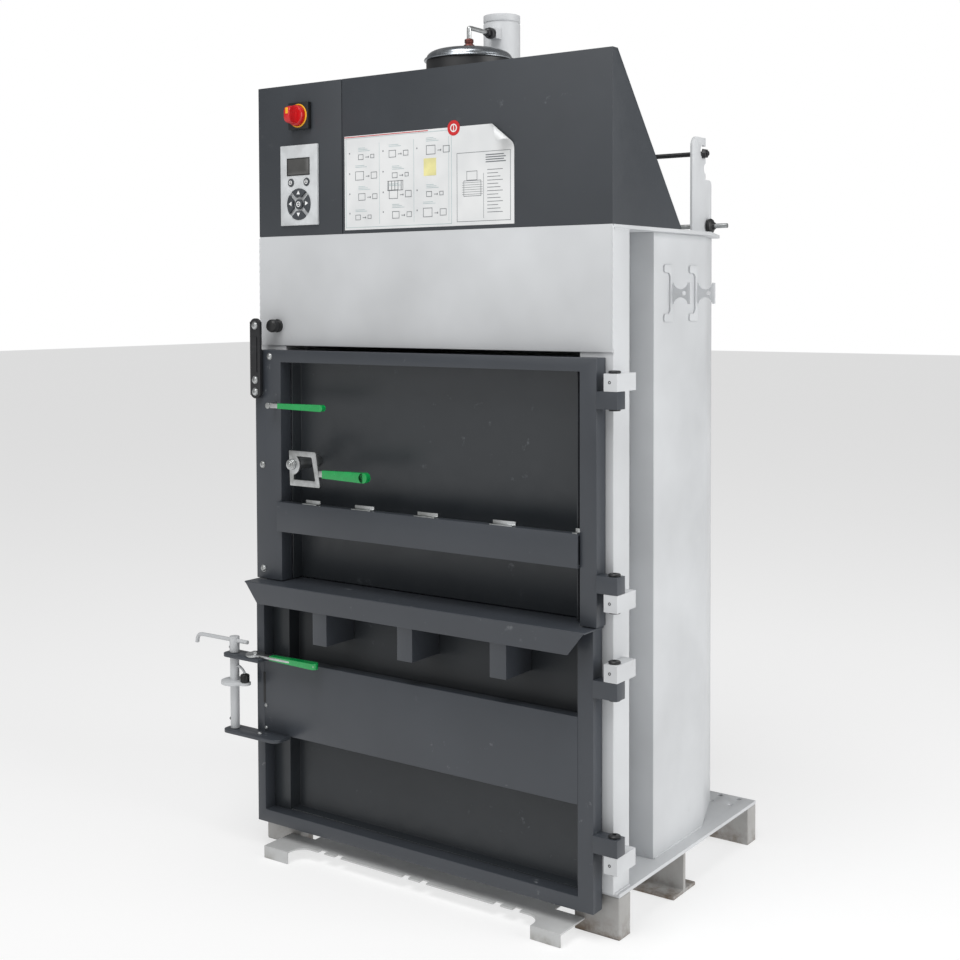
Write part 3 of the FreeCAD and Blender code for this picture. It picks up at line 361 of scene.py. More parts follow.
class Finish(Enum):
    """Every finish on the machine, by the name of what it is."""

    # Sprayed polyester powder melted in an oven: satin near-black blue-grey, pale where rubbed.
    DARK = PowderCoat("Powder coat anthracite", "35393E", "85888B", 0.42, 0.3)
    # The same coat on the doors' tubes, which hands and cartons have polished and scuffed.
    DARK_RAIL = PowderCoat("Powder coat anthracite door", "3C4046", "9DA0A3", 0.33, 0.6)
    # The same coat on the recessed sheets, in a darker copy that paints the shade falling in the
    # recesses, with scuffs from bales.
    DARK_PANEL = PowderCoat("Powder coat anthracite with painted recess shade", "2C3034", "7C8084", 0.36, 0.55)
    # Powder coat over welded plate: a soft, even light grey with faint warm rubs.
    LIGHT = PowderCoat("Powder coat light grey", "C6C8CA", "A9A6A1", 0.45, 0.3)
    # The light coat under dust and dried spills: dull, and brown towards the floor.
    GRIME = FloorGrime("Powder coat light grey by the floor", "A3A2A0", "5A4630")
    # The light coat where feet and pallets scrape it clean: pale, with a thin grey film.
    SILL = FloorGrime("Powder coat light grey sill", "C2C3C3", "8B8880", 20.0)
    # Electroplated steel: a cool, slightly cloudy metal with soft highlights.
    ZINC = Metal("Zinc-plated steel", "C9CBCC", "A9ABAA", 0.34)
    # Ground, hard-chromed and polished rod: near mirror, with grinding lines round it.
    CHROME = Metal("Hard-chromed steel", "D8DADB", "C8CACC", 0.1, (1, 1, 0.05), 1.5, 0.05)
    # Rolled steel scoured by bales: grey-brown streaks along the way the bales slide.
    STEEL = Metal("Scoured floor steel", "8F8E8B", "6B6762", 0.45, (1, 0.08, 1), 2.0, 0.3)
    # Sheet spun over a former: bright, with fine rings and a sharp rim highlight.
    SPUN = Metal("Spun aluminium", "A9ADB1", "8B9095", 0.24, (1, 1, 6), 4.0, 0.1)
    # Turned and passivated fitting: a small reddish glint.
    COPPER = Metal("Reddish plated fitting", "8A5A55", "6A403C", 0.35)
    # Phosphated and oiled steel: flat black that turns grey on worn edges.
    BLACK_STEEL = PowderCoat("Black phosphated steel", "1E1F21", "55565A", 0.4, 0.3, 1.5, 60.0)
    # Levers dipped in liquid vinyl and cured: a thick, wet-looking strong green.
    GREEN = Moulded("Dipped green vinyl", "069A4B", 0.22, 2.0, 0.4)
    # Injection-moulded nylon: matt black with a fine spark texture.
    BLACK = Moulded("Black moulded plastic", "141516", 0.4)
    # Compression-moulded silicone: dull dark grey with no sharp highlight.
    KEY_GREY = Moulded("Grey rubber key", "3A3E43", 0.5)
    # Screen-printed ink: flat, opaque white.
    SYMBOL = Moulded("White printed symbol", "E9EAEA", 0.5)
    # Injection-moulded and polished: saturated colour under a clear highlight.
    RED = Moulded("Red moulded plastic", "C8141A", 0.28, 1.2, 0.3)
    YELLOW = Moulded("Yellow moulded plastic", "F2B01E", 0.3, 1.2, 0.3)
    # Polyester foil printed on its back: light grey, smooth and slightly satin.
    PANEL = Moulded("Light grey membrane foil", "CDD0D2", 0.35)
    # Tinted cast sheet over an unlit display: dark grey with a crisp reflection.
    SCREEN = Moulded("Smoked display glass", "4C4C4B", 0.12, 3.0, 0.6)
    # Calendered, clay-coated paper: off-white, wavy, with a slight sheen.
    PAPER = Paper("Coated poster paper", "E2E3E3", "D2D4D5")
    # Offset-printed ink in three tints: flat, with the paper's own dullness.
    INK = Moulded("Grey printing ink", "6C7074", 0.6)
    PALE_INK = Moulded("Pale printing ink", "B4C3C4", 0.6)
    YELLOW_INK = Moulded("Yellow printing ink", "E3DC9C", 0.6)


MATERIALS: dict[Finish, bpy.types.Material] = {}


def coat(piece: Piece, finish: Finish) -> None:
    """Give a piece one finish, made on first use.

    Args:
        piece: The piece.
        finish: Its finish.
    """
    if finish not in MATERIALS:
        MATERIALS[finish] = finish.value.build()
    piece.data.materials.clear()
    piece.data.materials.append(MATERIALS[finish])
    for face in getattr(piece.data, "polygons", []):
        face.material_index = 0


# ---------------------------------------------------------------------------------- modelling
def pick(*pieces: Piece) -> None:
    """Select only these pieces and make the first one active.

    Args:
        *pieces: The pieces.
    """
    bpy.ops.object.select_all(action="DESELECT")
    for piece in pieces:
        piece.select_set(True)
    bpy.context.view_layer.objects.active = pieces[0]


def settle(name: str) -> Piece:
    """Name the active piece and move its place into its mesh.

    Args:
        name: The piece's name.

    Returns:
        The piece.
    """
    piece = bpy.context.view_layer.objects.active
    piece.name = name
    pick(piece)
    bpy.ops.object.transform_apply(location=True, rotation=True, scale=True)
    return piece


def finish_with(piece: Piece, kind: str, **settings: object) -> None:
    """Add a modifier with its settings and apply it.

    Args:
        piece: The piece.
        kind: The modifier's type name.
        **settings: Attributes set on the modifier.
    """
    pick(piece)
    modifier = piece.modifiers.new(kind.title(), kind)
    for name, value in settings.items():
        setattr(modifier, name, value)
    bpy.ops.object.modifier_apply(modifier=modifier.name)


def block(name: str, low: Point, high: Point) -> Piece:
    """A block between two corners, in metres.

    Args:
        name: The piece's name.
        low: Its lowest corner.
        high: Its highest corner.

    Returns:
        The block.
    """
    bpy.ops.object.select_all(action="DESELECT")
    centre = [(a + b) / 2 for a, b in zip(low, high)]
    bpy.ops.mesh.primitive_cube_add(size=1, location=centre,
                                    scale=[b - a for a, b in zip(low, high)])
    return settle(name)


def drum(name: str, start: Point, along: Along, radius: float, length: float,
         sides: int = 40) -> Piece:
    """A cylinder that starts at a point.

    Args:
        name: The piece's name.
        start: The middle of its first face.
        along: Its direction.
        radius: Its radius.
        length: Its length.
        sides: How many sides it has; six make a hexagon.

    Returns:
        The cylinder.
    """
    return turned(name, start, along, [(radius, 0.0), (radius, length)], sides)


def turned(name: str, start: Point, along: Along, rings: list[tuple[float, float]],
           sides: int = 40) -> Piece:
    """A turned piece: a disc extruded and resized ring by ring.

    Args:
        name: The piece's name.
        start: The middle of its first disc.
        along: Its direction.
        rings: Radius and height of each ring, from the start.
        sides: How many sides it has.

    Returns:
        The turned piece.
    """
    bpy.ops.object.select_all(action="DESELECT")
    bpy.ops.mesh.primitive_circle_add(vertices=sides, radius=rings[0][0], fill_type="NGON")
    bpy.ops.object.mode_set(mode="EDIT")
    bpy.ops.mesh.select_all(action="SELECT")
    for (radius, height), (wider, higher) in zip(rings, rings[1:]):
        bpy.ops.mesh.extrude_region_move(
            TRANSFORM_OT_translate={"value": (0, 0, higher - height)})
        ratio = wider / radius
        bpy.ops.transform.resize(value=(ratio, ratio, 1), center_override=(0, 0, higher))
    bpy.ops.mesh.select_all(action="SELECT")
    bpy.ops.mesh.normals_make_consistent(inside=False)
    bpy.ops.object.mode_set(mode="OBJECT")
    piece = bpy.context.view_layer.objects.active
    piece.rotation_euler = along.value
    piece.location = start
    return settle(name)


def weld_up(base: Piece, *others: Piece) -> Piece:
    """Unite solids into one piece.

    Args:
        base: The solid that is kept.
        *others: The solids that are added and removed.

    Returns:
        The base.
    """
    for other in others:
        finish_with(base, "BOOLEAN", operation="UNION", solver="EXACT", object=other)
        bpy.data.objects.remove(other)
    return base


def carve(base: Piece, *tools: Piece) -> Piece:
    """Cut solids out of a piece.

    Args:
        base: The solid that is cut.
        *tools: The solids that are taken out and removed.

    Returns:
        The base.
    """
    for tool in tools:
        finish_with(base, "BOOLEAN", operation="DIFFERENCE", solver="EXACT", object=tool)
        bpy.data.objects.remove(tool)
    return base


def bundle(name: str, pieces: list[Piece]) -> Piece:
    """Join loose solids into one mesh.

    Args:
        name: The piece's name.
        pieces: The solids.

    Returns:
        The joined piece.
    """
    pick(*pieces)
    bpy.ops.object.join()
    return settle(name)


def soften(piece: Piece, width: float, segments: int = 3, angle: float = 35.0) -> Piece:
    """Round a piece's edges and shade it smoothly.

    Args:
        piece: The piece.
        width: The rounding's width in metres.
        segments: How many facets round it.
        angle: Edges that bend more than this many degrees are rounded.

    Returns:
        The piece.
    """
    finish_with(piece, "BEVEL", width=width, segments=segments, limit_method="ANGLE",
                angle_limit=math.radians(angle), use_clamp_overlap=True)
    pick(piece)
    bpy.ops.object.shade_smooth_by_angle(angle=SMOOTH)
    return piece


def from_cad(name: str, node_name: str) -> Piece:
    """A merged copy of a CAD node's mesh, to be shaped further.

    Args:
        name: The piece's name.
        node_name: The CAD node.

    Returns:
        The copy.
    """
    piece = bpy.data.objects.new(name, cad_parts[node_name].data.copy())
    bpy.context.collection.objects.link(piece)
    finish_with(piece, "WELD", merge_threshold=MERGE)
    finish_with(piece, "DECIMATE", decimate_type="DISSOLVE", angle_limit=FLAT)
    return piece


def round_edges(piece: Piece, along: Point, radius: float, low: Point, high: Point,
                segments: int = 7) -> Piece:
    """Round the edges that run one way inside a box.

    Args:
        piece: The piece.
        along: The edges' direction.
        radius: The rounding's radius.
        low: The box's lowest corner, which holds the edges' middles.
        high: The box's highest corner.
        segments: How many facets round an edge.

    Returns:
        The piece.
    """
    pick(piece)
    bpy.ops.object.mode_set(mode="EDIT")
    bpy.ops.mesh.select_mode(type="EDGE")
    bpy.ops.mesh.select_all(action="DESELECT")
    bpy.ops.object.mode_set(mode="OBJECT")
    direction = Vector(along)
    points = piece.data.vertices
    for edge in piece.data.edges:
        start, end = (points[index].co for index in edge.vertices)
        middle = (start + end) / 2
        inside = all(a <= value <= b for a, value, b in zip(low, middle, high))
        edge.select = inside and abs((end - start).normalized().dot(direction)) > 0.99
    bpy.ops.object.mode_set(mode="EDIT")
    bpy.ops.mesh.bevel(offset=radius, segments=segments, affect="EDGES")
    bpy.ops.object.mode_set(mode="OBJECT")
    return piece


def rod_along(name: str, points: list[Point], radius: float) -> Piece:
    """A round rod along a smooth line.

    Args:
        name: The piece's name.
        points: The line's control points.
        radius: The rod's radius.

    Returns:
        The rod as a mesh.
    """
    bpy.ops.object.select_all(action="DESELECT")
    bpy.ops.curve.primitive_nurbs_path_add(location=(0, 0, 0))
    curve = bpy.context.view_layer.objects.active.data
    curve.splines.clear()
    spline = curve.splines.new("NURBS")
    spline.points.add(len(points) - 1)
    for spot, point in zip(spline.points, points):
        spot.co = (*point, 1.0)
    spline.order_u = 3
    spline.use_endpoint_u = True
    curve.resolution_u = 10
    curve.bevel_depth = radius
    curve.bevel_resolution = 6
    curve.use_fill_caps = True
    bpy.ops.object.convert(target="MESH")
    piece = settle(name)
    finish_with(piece, "WELD", merge_threshold=0.00002)
    bpy.ops.object.shade_smooth_by_angle(angle=SMOOTH)
    return piece


def place_on(piece: Piece, body: Body, finish: Finish, slot: str, *instead_of: str) -> Piece:
    """Finish a piece, fix it to its body and hide the CAD nodes it stands for.

    Args:
        piece: The finished mesh.
        body: The body it rides on.
        finish: Its finish.
        slot: The record's material slot; not used.
        *instead_of: CAD nodes that it replaces.

    Returns:
        The piece.
    """
    coat(piece, finish)
    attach(piece, body.value)
    if instead_of:
        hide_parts(*instead_of)
    log.info("made %s on %s", piece.name, body.value)
    return piece


# -------------------------------------------------------------------------- small hardware
@dataclass
class Hardware:
    """Screws, nuts and bolt heads that several assemblies use."""

    def socket_screw(self, name: str, seat: Point, along: Along, radius: float,
                     height: float) -> Piece:
        """A button-head screw with a hexagon socket.

        Args:
            name: The piece's name.
            seat: The middle of the face it sits on.
            along: The way it sticks out.
            radius: The head's radius.
            height: The head's height.

        Returns:
            The screw head.
        """
        washer = (radius * 1.15, height * 0.22)
        head = turned(name, seat, along, [
            (washer[0], 0.0), (washer[0], washer[1]), (radius, washer[1] * 1.02),
            (radius, height * 0.45), (radius * 0.9, height * 0.75), (radius * 0.7, height * 0.93),
            (radius * 0.5, height)], 32)
        direction = Vector((0, 0, 1))
        direction.rotate(turn_towards(along))
        tip = Vector(seat) + direction * height * 0.62
        socket = drum(name + "_socket", tuple(tip), along, radius * 0.38, height, 6)
        carve(head, socket)
        pick(head)
        bpy.ops.object.shade_smooth_by_angle(angle=math.radians(35))
        return head

    def hex_bolt(self, name: str, seat: Point, along: Along, radius: float,
                 height: float) -> Piece:
        """A hexagon bolt head on a washer.

        Args:
            name: The piece's name.
            seat: The middle of the face it sits on.
            along: The way it sticks out.
            radius: The head's corner radius.
            height: The height of washer and head together.

        Returns:
            The bolt head.
        """
        direction = Vector((0, 0, 1))
        direction.rotate(turn_towards(along))
        washer = turned(name, seat, along, [(radius * 1.3, 0), (radius * 1.35, height * 0.1),
                                            (radius * 1.3, height * 0.25)], 36)
        on_washer = Vector(seat) + direction * height * 0.25
        head = turned(name + "_head", tuple(on_washer), along, [
            (radius, 0), (radius, height * 0.62), (radius * 0.86, height * 0.75)], 6)
        shank = turned(name + "_shank", tuple(on_washer), along, [
            (radius * 0.52, 0), (radius * 0.52, height * 0.98), (radius * 0.42, height * 1.1)], 24)
        return soften(bundle(name, [washer, head, shank]), radius * 0.05, 2, 25)


def turn_towards(along: Along) -> Matrix:
    """The rotation that takes +Z to a direction.

    Args:
        along: The direction.

    Returns:
        The rotation as a 3 by 3 matrix.
    """
    x, y, _ = along.value
    return Matrix.Rotation(y, 3, "Y") @ Matrix.Rotation(x, 3, "X")


# ------------------------------------------------------------------------------ assemblies
@dataclass
class CadDress:
    """Bevels and finishes for the CAD nodes that are shown as they are."""

    edge: float = 1.2 * MM

    def finishes(self) -> dict[Finish, list[str]]:
        """Which CAD nodes have which finish.

        Returns:
            Finish to the names of its nodes.
        """
        return {
            Finish.DARK: ["hood_cover", "cabinet_cover"],
            Finish.DARK_RAIL: ["upper_door_frame", "upper_door_cross_rail", "lower_door_frame",
                               "lower_door_wide_rail", "lower_door_lip",
                               "upper_door_hinge_leaves", "lower_door_hinge_leaves"],
            # The door panels take the darker copy of the coat, which paints the shade in their
            # recesses.
            Finish.DARK_PANEL: ["upper_door_panel", "lower_door_panel"],
            Finish.LIGHT: ["column_left", "column_right", "chamber_shell", "side_box_left",
                           "side_box_right", "top_plate", "header_panel", "strap_post_left",
                           "strap_post_right", "strap_hooks", "hinge_blocks_fixed",
                           "lock_keeper", "press_platen", "base_plate", "press_barrel",
                           "lock_tube"],
            Finish.GRIME: ["front_foot_left", "front_foot_right", "mid_beam", "rear_foot"],
            Finish.SILL: ["threshold_plate"],
            Finish.ZINC: ["latch_lever", "latch_bolt", "pull_lever", "lock_lever", "door_screws"],
            Finish.STEEL: ["chamber_floor", "strap_rod_lower"],
            Finish.CHROME: ["piston_rod"],
            Finish.BLACK_STEEL: ["strap_rod_upper", "interlock_arm", "hinge_pins", "lock_roller",
                                 "pressure_pipe", "oil_tank"],
            Finish.BLACK: ["switch_base", "interlock_switch"],
            Finish.KEY_GREY: ["menu_key", "enter_key", "arrow_pad", "stop_key"],
            Finish.SPUN: ["tank_dome"],
            Finish.RED: ["switch_knob"],
            Finish.PANEL: ["control_panel"],
            Finish.GREEN: ["pull_grip", "latch_grip", "lock_grip"],
        }

    def rounding(self, name: str) -> float:
        """The edge rounding of a node.

        Args:
            name: The CAD node.

        Returns:
            The rounding's width in metres.
        """
        wide = {"column_left": 5.0, "column_right": 5.0, "front_foot_left": 4.0,
                "front_foot_right": 4.0, "side_box_left": 2.0, "side_box_right": 2.0,
                "header_panel": 1.4, "hood_cover": 0.9, "cabinet_cover": 0.9,
                "control_panel": 0.6, "mid_beam": 1.5, "rear_foot": 2.5,
                "menu_key": 0.6, "enter_key": 0.6, "arrow_pad": 0.6, "stop_key": 0.6}
        return wide.get(name, self.edge / MM) * MM

    def dress(self) -> None:
        """Bevel and coat every listed node."""
        for finish, names in self.finishes().items():
            for name in names:
                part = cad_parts[name]
                part.modifiers.new("Merge", "WELD").merge_threshold = MERGE
                flat = part.modifiers.new("Flat", "DECIMATE")
                flat.decimate_type = "DISSOLVE"
                flat.angle_limit = FLAT
                bevel = part.modifiers.new("Edges", "BEVEL")
                bevel.width = self.rounding(name)
                bevel.segments = 3
                bevel.limit_method = "ANGLE"
                bevel.angle_limit = SMOOTH
                bevel.use_clamp_overlap = True
                coat(part, finish)
                pick(part)
                bpy.ops.object.shade_smooth_by_angle(angle=SMOOTH)
        log.info("dressed the CAD nodes")


@dataclass
class ControlPanel:
    """Display, key symbols and main switch on the control cabinet."""

    def build(self) -> None:
        """Make the panel's pieces."""
        low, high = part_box("control_panel")
        front = low[1]
        left, right, bottom, top = low[0], high[0], low[2], high[2]
        width = right - left
        centre = (left + right) / 2
        screen = block("display_window", (left + width * 0.2, front - 0.5 * MM, top - 69 * MM),
                       (right - width * 0.22, front + 1 * MM, top - 32 * MM))
        place_on(soften(screen, 0.3 * MM), Body.BASE, Finish.SCREEN, "black_plastic")
        outer = block("display_frame", (left + width * 0.18, front - 0.9 * MM, top - 71 * MM),
                      (right - width * 0.2, front + 0.5 * MM, top - 30 * MM))
        inner = block("cut", (left + width * 0.2, front - 3 * MM, top - 69 * MM),
                      (right - width * 0.22, front + 3 * MM, top - 32 * MM))
        place_on(soften(carve(outer, inner), 0.2 * MM), Body.BASE, Finish.BLACK, "black_plastic")
        self.arrow_keys(centre, front)
        self.round_keys()
        self.switch()

    def arrow_keys(self, centre: float, front: float) -> None:
        """Four arc-shaped keys with arrows in place of the plain ring.

        Args:
            centre: The ring's middle in X.
            front: The panel's front face in Y; not used.
        """
        low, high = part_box("arrow_pad")
        middle = (low[2] + high[2]) / 2
        face = low[1]
        radius = (high[0] - low[0]) / 2
        ring = drum("arrow_keys", (centre, high[1], middle), Along.FRONT, radius,
                    high[1] - face, 64)
        eye = drum("eye", (centre, high[1] + 0.01, middle), Along.FRONT, radius * 0.48, 0.05, 48)
        bars = []
        for turn in (math.pi / 4, -math.pi / 4):
            bar = block("gap", (centre - 0.06, face - 0.01, middle - 5.5 * MM),
                        (centre + 0.06, high[1] + 0.01, middle + 5.5 * MM))
            pick(bar)
            bpy.ops.object.origin_set(type="ORIGIN_GEOMETRY", center="BOUNDS")
            bar.rotation_euler = (0, turn, 0)
            bars.append(settle("gap"))
        keys = soften(carve(ring, eye, *bars), 0.5 * MM, 2)
        place_on(keys, Body.ARROWS, Finish.KEY_GREY, "black_plastic", "arrow_pad")
        marks = []
        for quarter in range(4):
            angle = quarter * math.pi / 2
            spot = (centre + math.sin(angle) * radius * 0.72, face + 0.2 * MM,
                    middle + math.cos(angle) * radius * 0.72)
            mark = turned("arrow", spot, Along.FRONT, [(6 * MM, 0), (6 * MM, 0.5 * MM)], 3)
            pick(mark)
            bpy.ops.object.origin_set(type="ORIGIN_GEOMETRY", center="BOUNDS")
            mark.rotation_euler = (0, angle, 0)
            marks.append(settle("arrow"))
        place_on(bundle("arrow_symbols", marks), Body.ARROWS, Finish.SYMBOL, "grey_plastic")

    def round_keys(self) -> None:
        """Domed round keys with simple pale marks."""
        for node_name, body in (("menu_key", Body.MENU), ("enter_key", Body.ENTER),
                                ("stop_key", Body.STOP)):
            low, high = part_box(node_name)
            centre = ((low[0] + high[0]) / 2, high[1], (low[2] + high[2]) / 2)
            radius = (high[0] - low[0]) / 2
            depth = high[1] - low[1]
            cap = turned(node_name + "_cap", centre, Along.FRONT, [
                (radius, 0), (radius, depth * 0.8), (radius * 0.93, depth * 0.93),
                (radius * 0.75, depth)], 48)
            pick(cap)
            bpy.ops.object.shade_smooth_by_angle(angle=SMOOTH)
            place_on(cap, body, Finish.KEY_GREY, "black_plastic", node_name)
            ring = turned(node_name + "_ring", (centre[0], low[1] + 0.3 * MM, centre[2]),
                          Along.FRONT, [(radius * 0.55, 0), (radius * 0.55, 0.55 * MM)], 40)
            hole = drum("hole", (centre[0], low[1] + 0.01, centre[2]), Along.FRONT,
                        radius * 0.38, 0.03)
            bar = block("bar", (centre[0] - radius * 0.3, low[1] - 0.25 * MM,
                                centre[2] - radius * 0.08),
                        (centre[0] + radius * 0.3, low[1] + 0.3 * MM, centre[2] + radius * 0.08))
            sign = bundle(node_name + "_sign", [carve(ring, hole), bar])
            place_on(sign, body, Finish.SYMBOL, "grey_plastic")

    def switch(self) -> None:
        """Red turning knob with a yellow handle face, on a square plate."""
        low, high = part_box("switch_knob")
        centre = ((low[0] + high[0]) / 2, high[1], (low[2] + high[2]) / 2)
        radius = (high[0] - low[0]) / 2
        depth = high[1] - low[1]
        dial = turned("switch_dial", centre, Along.FRONT, [
            (radius * 0.97, 0), (radius, depth * 0.06), (radius, depth * 0.26),
            (radius * 0.9, depth * 0.36)], 56)
        grip = turned("grip", (centre[0], centre[1] - depth * 0.3, centre[2]), Along.FRONT, [
            (radius * 0.88, 0), (radius * 0.85, depth * 0.4), (radius * 0.72, depth * 0.62),
            (radius * 0.5, depth * 0.7)], 40)
        sides = [block("side", (centre[0] + side * radius * 0.36, low[1] - 0.01,
                                centre[2] - radius * 1.1),
                       (centre[0] + side * radius * 1.5, centre[1] - depth * 0.34,
                        centre[2] + radius * 1.1)) if side > 0 else
                 block("side", (centre[0] + side * radius * 1.5, low[1] - 0.01,
                                centre[2] - radius * 1.1),
                       (centre[0] + side * radius * 0.36, centre[1] - depth * 0.34,
                        centre[2] + radius * 1.1)) for side in (-1, 1)]
        knob = soften(weld_up(dial, carve(grip, *sides)), 1.2 * MM)
        place_on(knob, Body.SWITCH, Finish.RED, "red_plastic", "switch_knob")
        flash = block("switch_flash", (centre[0] - radius * 0.16, low[1] - 0.3 * MM,
                                       centre[2] + radius * 0.05),
                      (centre[0] + radius * 0.16, low[1] + 1.5 * MM, centre[2] + radius * 0.62))
        place_on(soften(flash, 0.5 * MM), Body.SWITCH, Finish.YELLOW, "red_plastic")
        rim = turned("switch_ring", (centre[0], centre[1] + 0.2 * MM, centre[2]), Along.FRONT,
                     [(radius * 1.14, 0), (radius * 1.1, 1.6 * MM)], 56)
        hole = drum("hole", (centre[0], centre[1] + 0.01, centre[2]), Along.FRONT,
                    radius * 1.02, 0.03, 56)
        place_on(carve(rim, hole), Body.BASE, Finish.YELLOW, "black_plastic")


@dataclass
class Posters:
    """Two paper sheets with generic diagrams, and the round sticker that joins them."""

    left: float = -0.217
    fold: float = 0.093
    right: float = 0.250
    bottom: float = 1.474
    top: float = 1.687
    sheet: float = 0.6 * MM
    curl: float = 27 * MM
    face: float = 0.0  # the hood's front, read from the frame in build

    def build(self) -> None:
        """Make both sheets, their print and the sticker."""
        self.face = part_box("hood_cover")[0][1]
        self.plain_sheet()
        self.peeled_sheet()
        self.print_steps()
        self.print_notice()
        sticker = turned("round_sticker", (self.fold, self.face - self.sheet, self.top - 2 * MM),
                         Along.FRONT, [(16.5 * MM, 0), (16.5 * MM, 0.5 * MM)], 48)
        place_on(sticker, Body.BASE, Finish.RED, "red_plastic")
        hub = turned("sticker_mark", (self.fold, self.face - self.sheet - 0.45 * MM,
                                      self.top - 2 * MM), Along.FRONT,
                     [(9 * MM, 0), (9 * MM, 0.25 * MM)], 40)
        hole = drum("hole", (self.fold, self.face + 0.01, self.top - 2 * MM), Along.FRONT,
                    6.5 * MM, 0.03)
        bar = block("bar", (self.fold - 1 * MM, self.face - self.sheet - 0.7 * MM,
                            self.top - 8 * MM),
                    (self.fold + 1 * MM, self.face - self.sheet - 0.4 * MM, self.top + 4 * MM))
        place_on(bundle("sticker_sign", [carve(hub, hole), bar]), Body.BASE, Finish.SYMBOL,
                 "grey_plastic")

    def plain_sheet(self) -> None:
        """The wide sheet, flat on the hood."""
        sheet = block("poster_steps", (self.left, self.face - self.sheet, self.bottom),
                      (self.fold, self.face, self.top))
        place_on(soften(sheet, 0.15 * MM, 1), Body.BASE, Finish.PAPER, "grey_plastic")

    def peeled_sheet(self) -> None:
        """The narrow sheet, whose upper right corner has come loose and rolled over."""
        bpy.ops.object.select_all(action="DESELECT")
        width, height = self.right - self.fold, self.top - self.bottom
        bpy.ops.mesh.primitive_grid_add(x_subdivisions=40, y_subdivisions=54, size=1,
                                        location=((self.fold + self.right) / 2,
                                                  self.face - self.sheet,
                                                  (self.bottom + self.top) / 2),
                                        rotation=(math.pi / 2, 0, 0))
        sheet = bpy.context.view_layer.objects.active
        sheet.scale = (width, height, 1)
        sheet = settle("poster_notice")
        corner = Vector((self.right, 0, self.top))
        inward = Vector((-0.62, 0, -0.78)).normalized()
        roll = 11 * MM
        for vertex in sheet.data.vertices:
            along = (Vector((vertex.co.x, 0, vertex.co.z)) - corner).dot(inward)
            past = self.curl * 1.6 - along
            if past > 0:
                angle = min(past / roll, math.radians(205))
                extra = past - angle * roll
                shift = roll * math.sin(angle) + extra * math.cos(angle)
                lift = roll * (1 - math.cos(angle)) + extra * math.sin(angle)
                vertex.co.x += -inward.x * (shift - past)
                vertex.co.z += -inward.z * (shift - past)
                vertex.co.y -= lift
        finish_with(sheet, "SOLIDIFY", thickness=self.sheet * 0.6, offset=0)
        bpy.ops.object.shade_smooth_by_angle(angle=math.radians(60))
        place_on(sheet, Body.BASE, Finish.PAPER, "grey_plastic")

    def mark(self, x: float, z: float, width: float, height: float) -> Piece:
        """One printed bar, placed on the sheet in millimetres.

        Args:
            x: Its left edge, from the sheet's left edge.
            z: Its lower edge, from the sheet's lower edge.
            width: Its width.
            height: Its height.

        Returns:
            The bar.
        """
        low = (self.left + x * MM, self.face - self.sheet - 0.3 * MM, self.bottom + z * MM)
        return block("mark", low, (low[0] + width * MM, self.face - self.sheet + 0.1 * MM,
                                   low[2] + height * MM))

    def outline(self, x: float, z: float, width: float, height: float) -> list[Piece]:
        """A printed rectangle, placed on the sheet in millimetres.

        Args:
            x: Its left edge.
            z: Its lower edge.
            width: Its width.
            height: Its height.

        Returns:
            The four bars.
        """
        line = 1.1
        return [self.mark(x, z, width, line), self.mark(x, z + height - line, width, line),
                self.mark(x, z, line, height), self.mark(x + width - line, z, line, height)]

    def print_steps(self) -> None:
        """Columns of simple box pictures, dots and text-like bars."""
        ink = []
        pale = []
        for column, x in enumerate((14, 112, 208)):
            for row, z in enumerate((22, 66, 112, 158)):
                if (column, row) == (2, 2):
                    continue
                size = 15 + 5 * ((column + row) % 3)
                left = x + 18 + 9 * ((row + column) % 2)
                ink += self.outline(left, z, size, size * 0.8)
                ink.append(self.mark(left + size + 6, z + size * 0.3, 10, 1.2))
                ink.append(self.mark(left + size + 14, z + size * 0.3 - 1.5, 1.6, 4.4))
                ink += self.outline(left + size + 21, z + 2, size * 0.7, size * 0.6)
                ink.append(self.mark(x, z + 14, 2.6, 3.2))
                for line in range(2 + (row + column) % 2):
                    pale.append(self.mark(left, z + size + 4 + line * 3.4, 34 - 7 * line, 1.1))
            pale.append(self.mark(x + 88, 12, 0.8, 182))
        pale += self.outline(4, 5, 300, 203)
        rule = self.mark(0, 209.5, 240, 1.6)
        place_on(soften(rule, 0.05 * MM, 1), Body.BASE, Finish.RED, "red_plastic")
        for line in range(5):
            ink.append(self.mark(128 + line * 9, 84, 1.4, 22))
        ink += self.outline(126, 84, 44, 22)
        place_on(bundle("poster_print", ink), Body.BASE, Finish.INK, "black_plastic")
        place_on(bundle("poster_pale_print", pale), Body.BASE, Finish.PALE_INK, "black_plastic")
        field = self.mark(228, 112, 34, 38)
        place_on(soften(field, 0.05 * MM, 1), Body.BASE, Finish.YELLOW_INK, "grey_plastic")

    def print_notice(self) -> None:
        """A framed machine outline with text-like bars beside it."""
        shift = (self.fold - self.left) / MM
        ink = self.outline(shift + 8, 8, 140, 148)
        ink += self.outline(shift + 26, 62, 46, 34)
        ink += self.outline(shift + 34, 96, 28, 20)
        for line in range(6):
            ink.append(self.mark(shift + 22, 66 + line * 5, 54, 0.8))
        for line in range(13):
            ink.append(self.mark(shift + 88, 26 + line * 7.5, 40 - 6 * (line % 3), 1.3))
        for line in range(4):
            ink.append(self.mark(shift + 84, 132 + line * 5, 52 - 5 * (line % 2), 2.2))
        ink.append(self.mark(shift + 78, 14, 0.8, 96))
        place_on(bundle("notice_print", ink), Body.BASE, Finish.INK, "black_plastic")


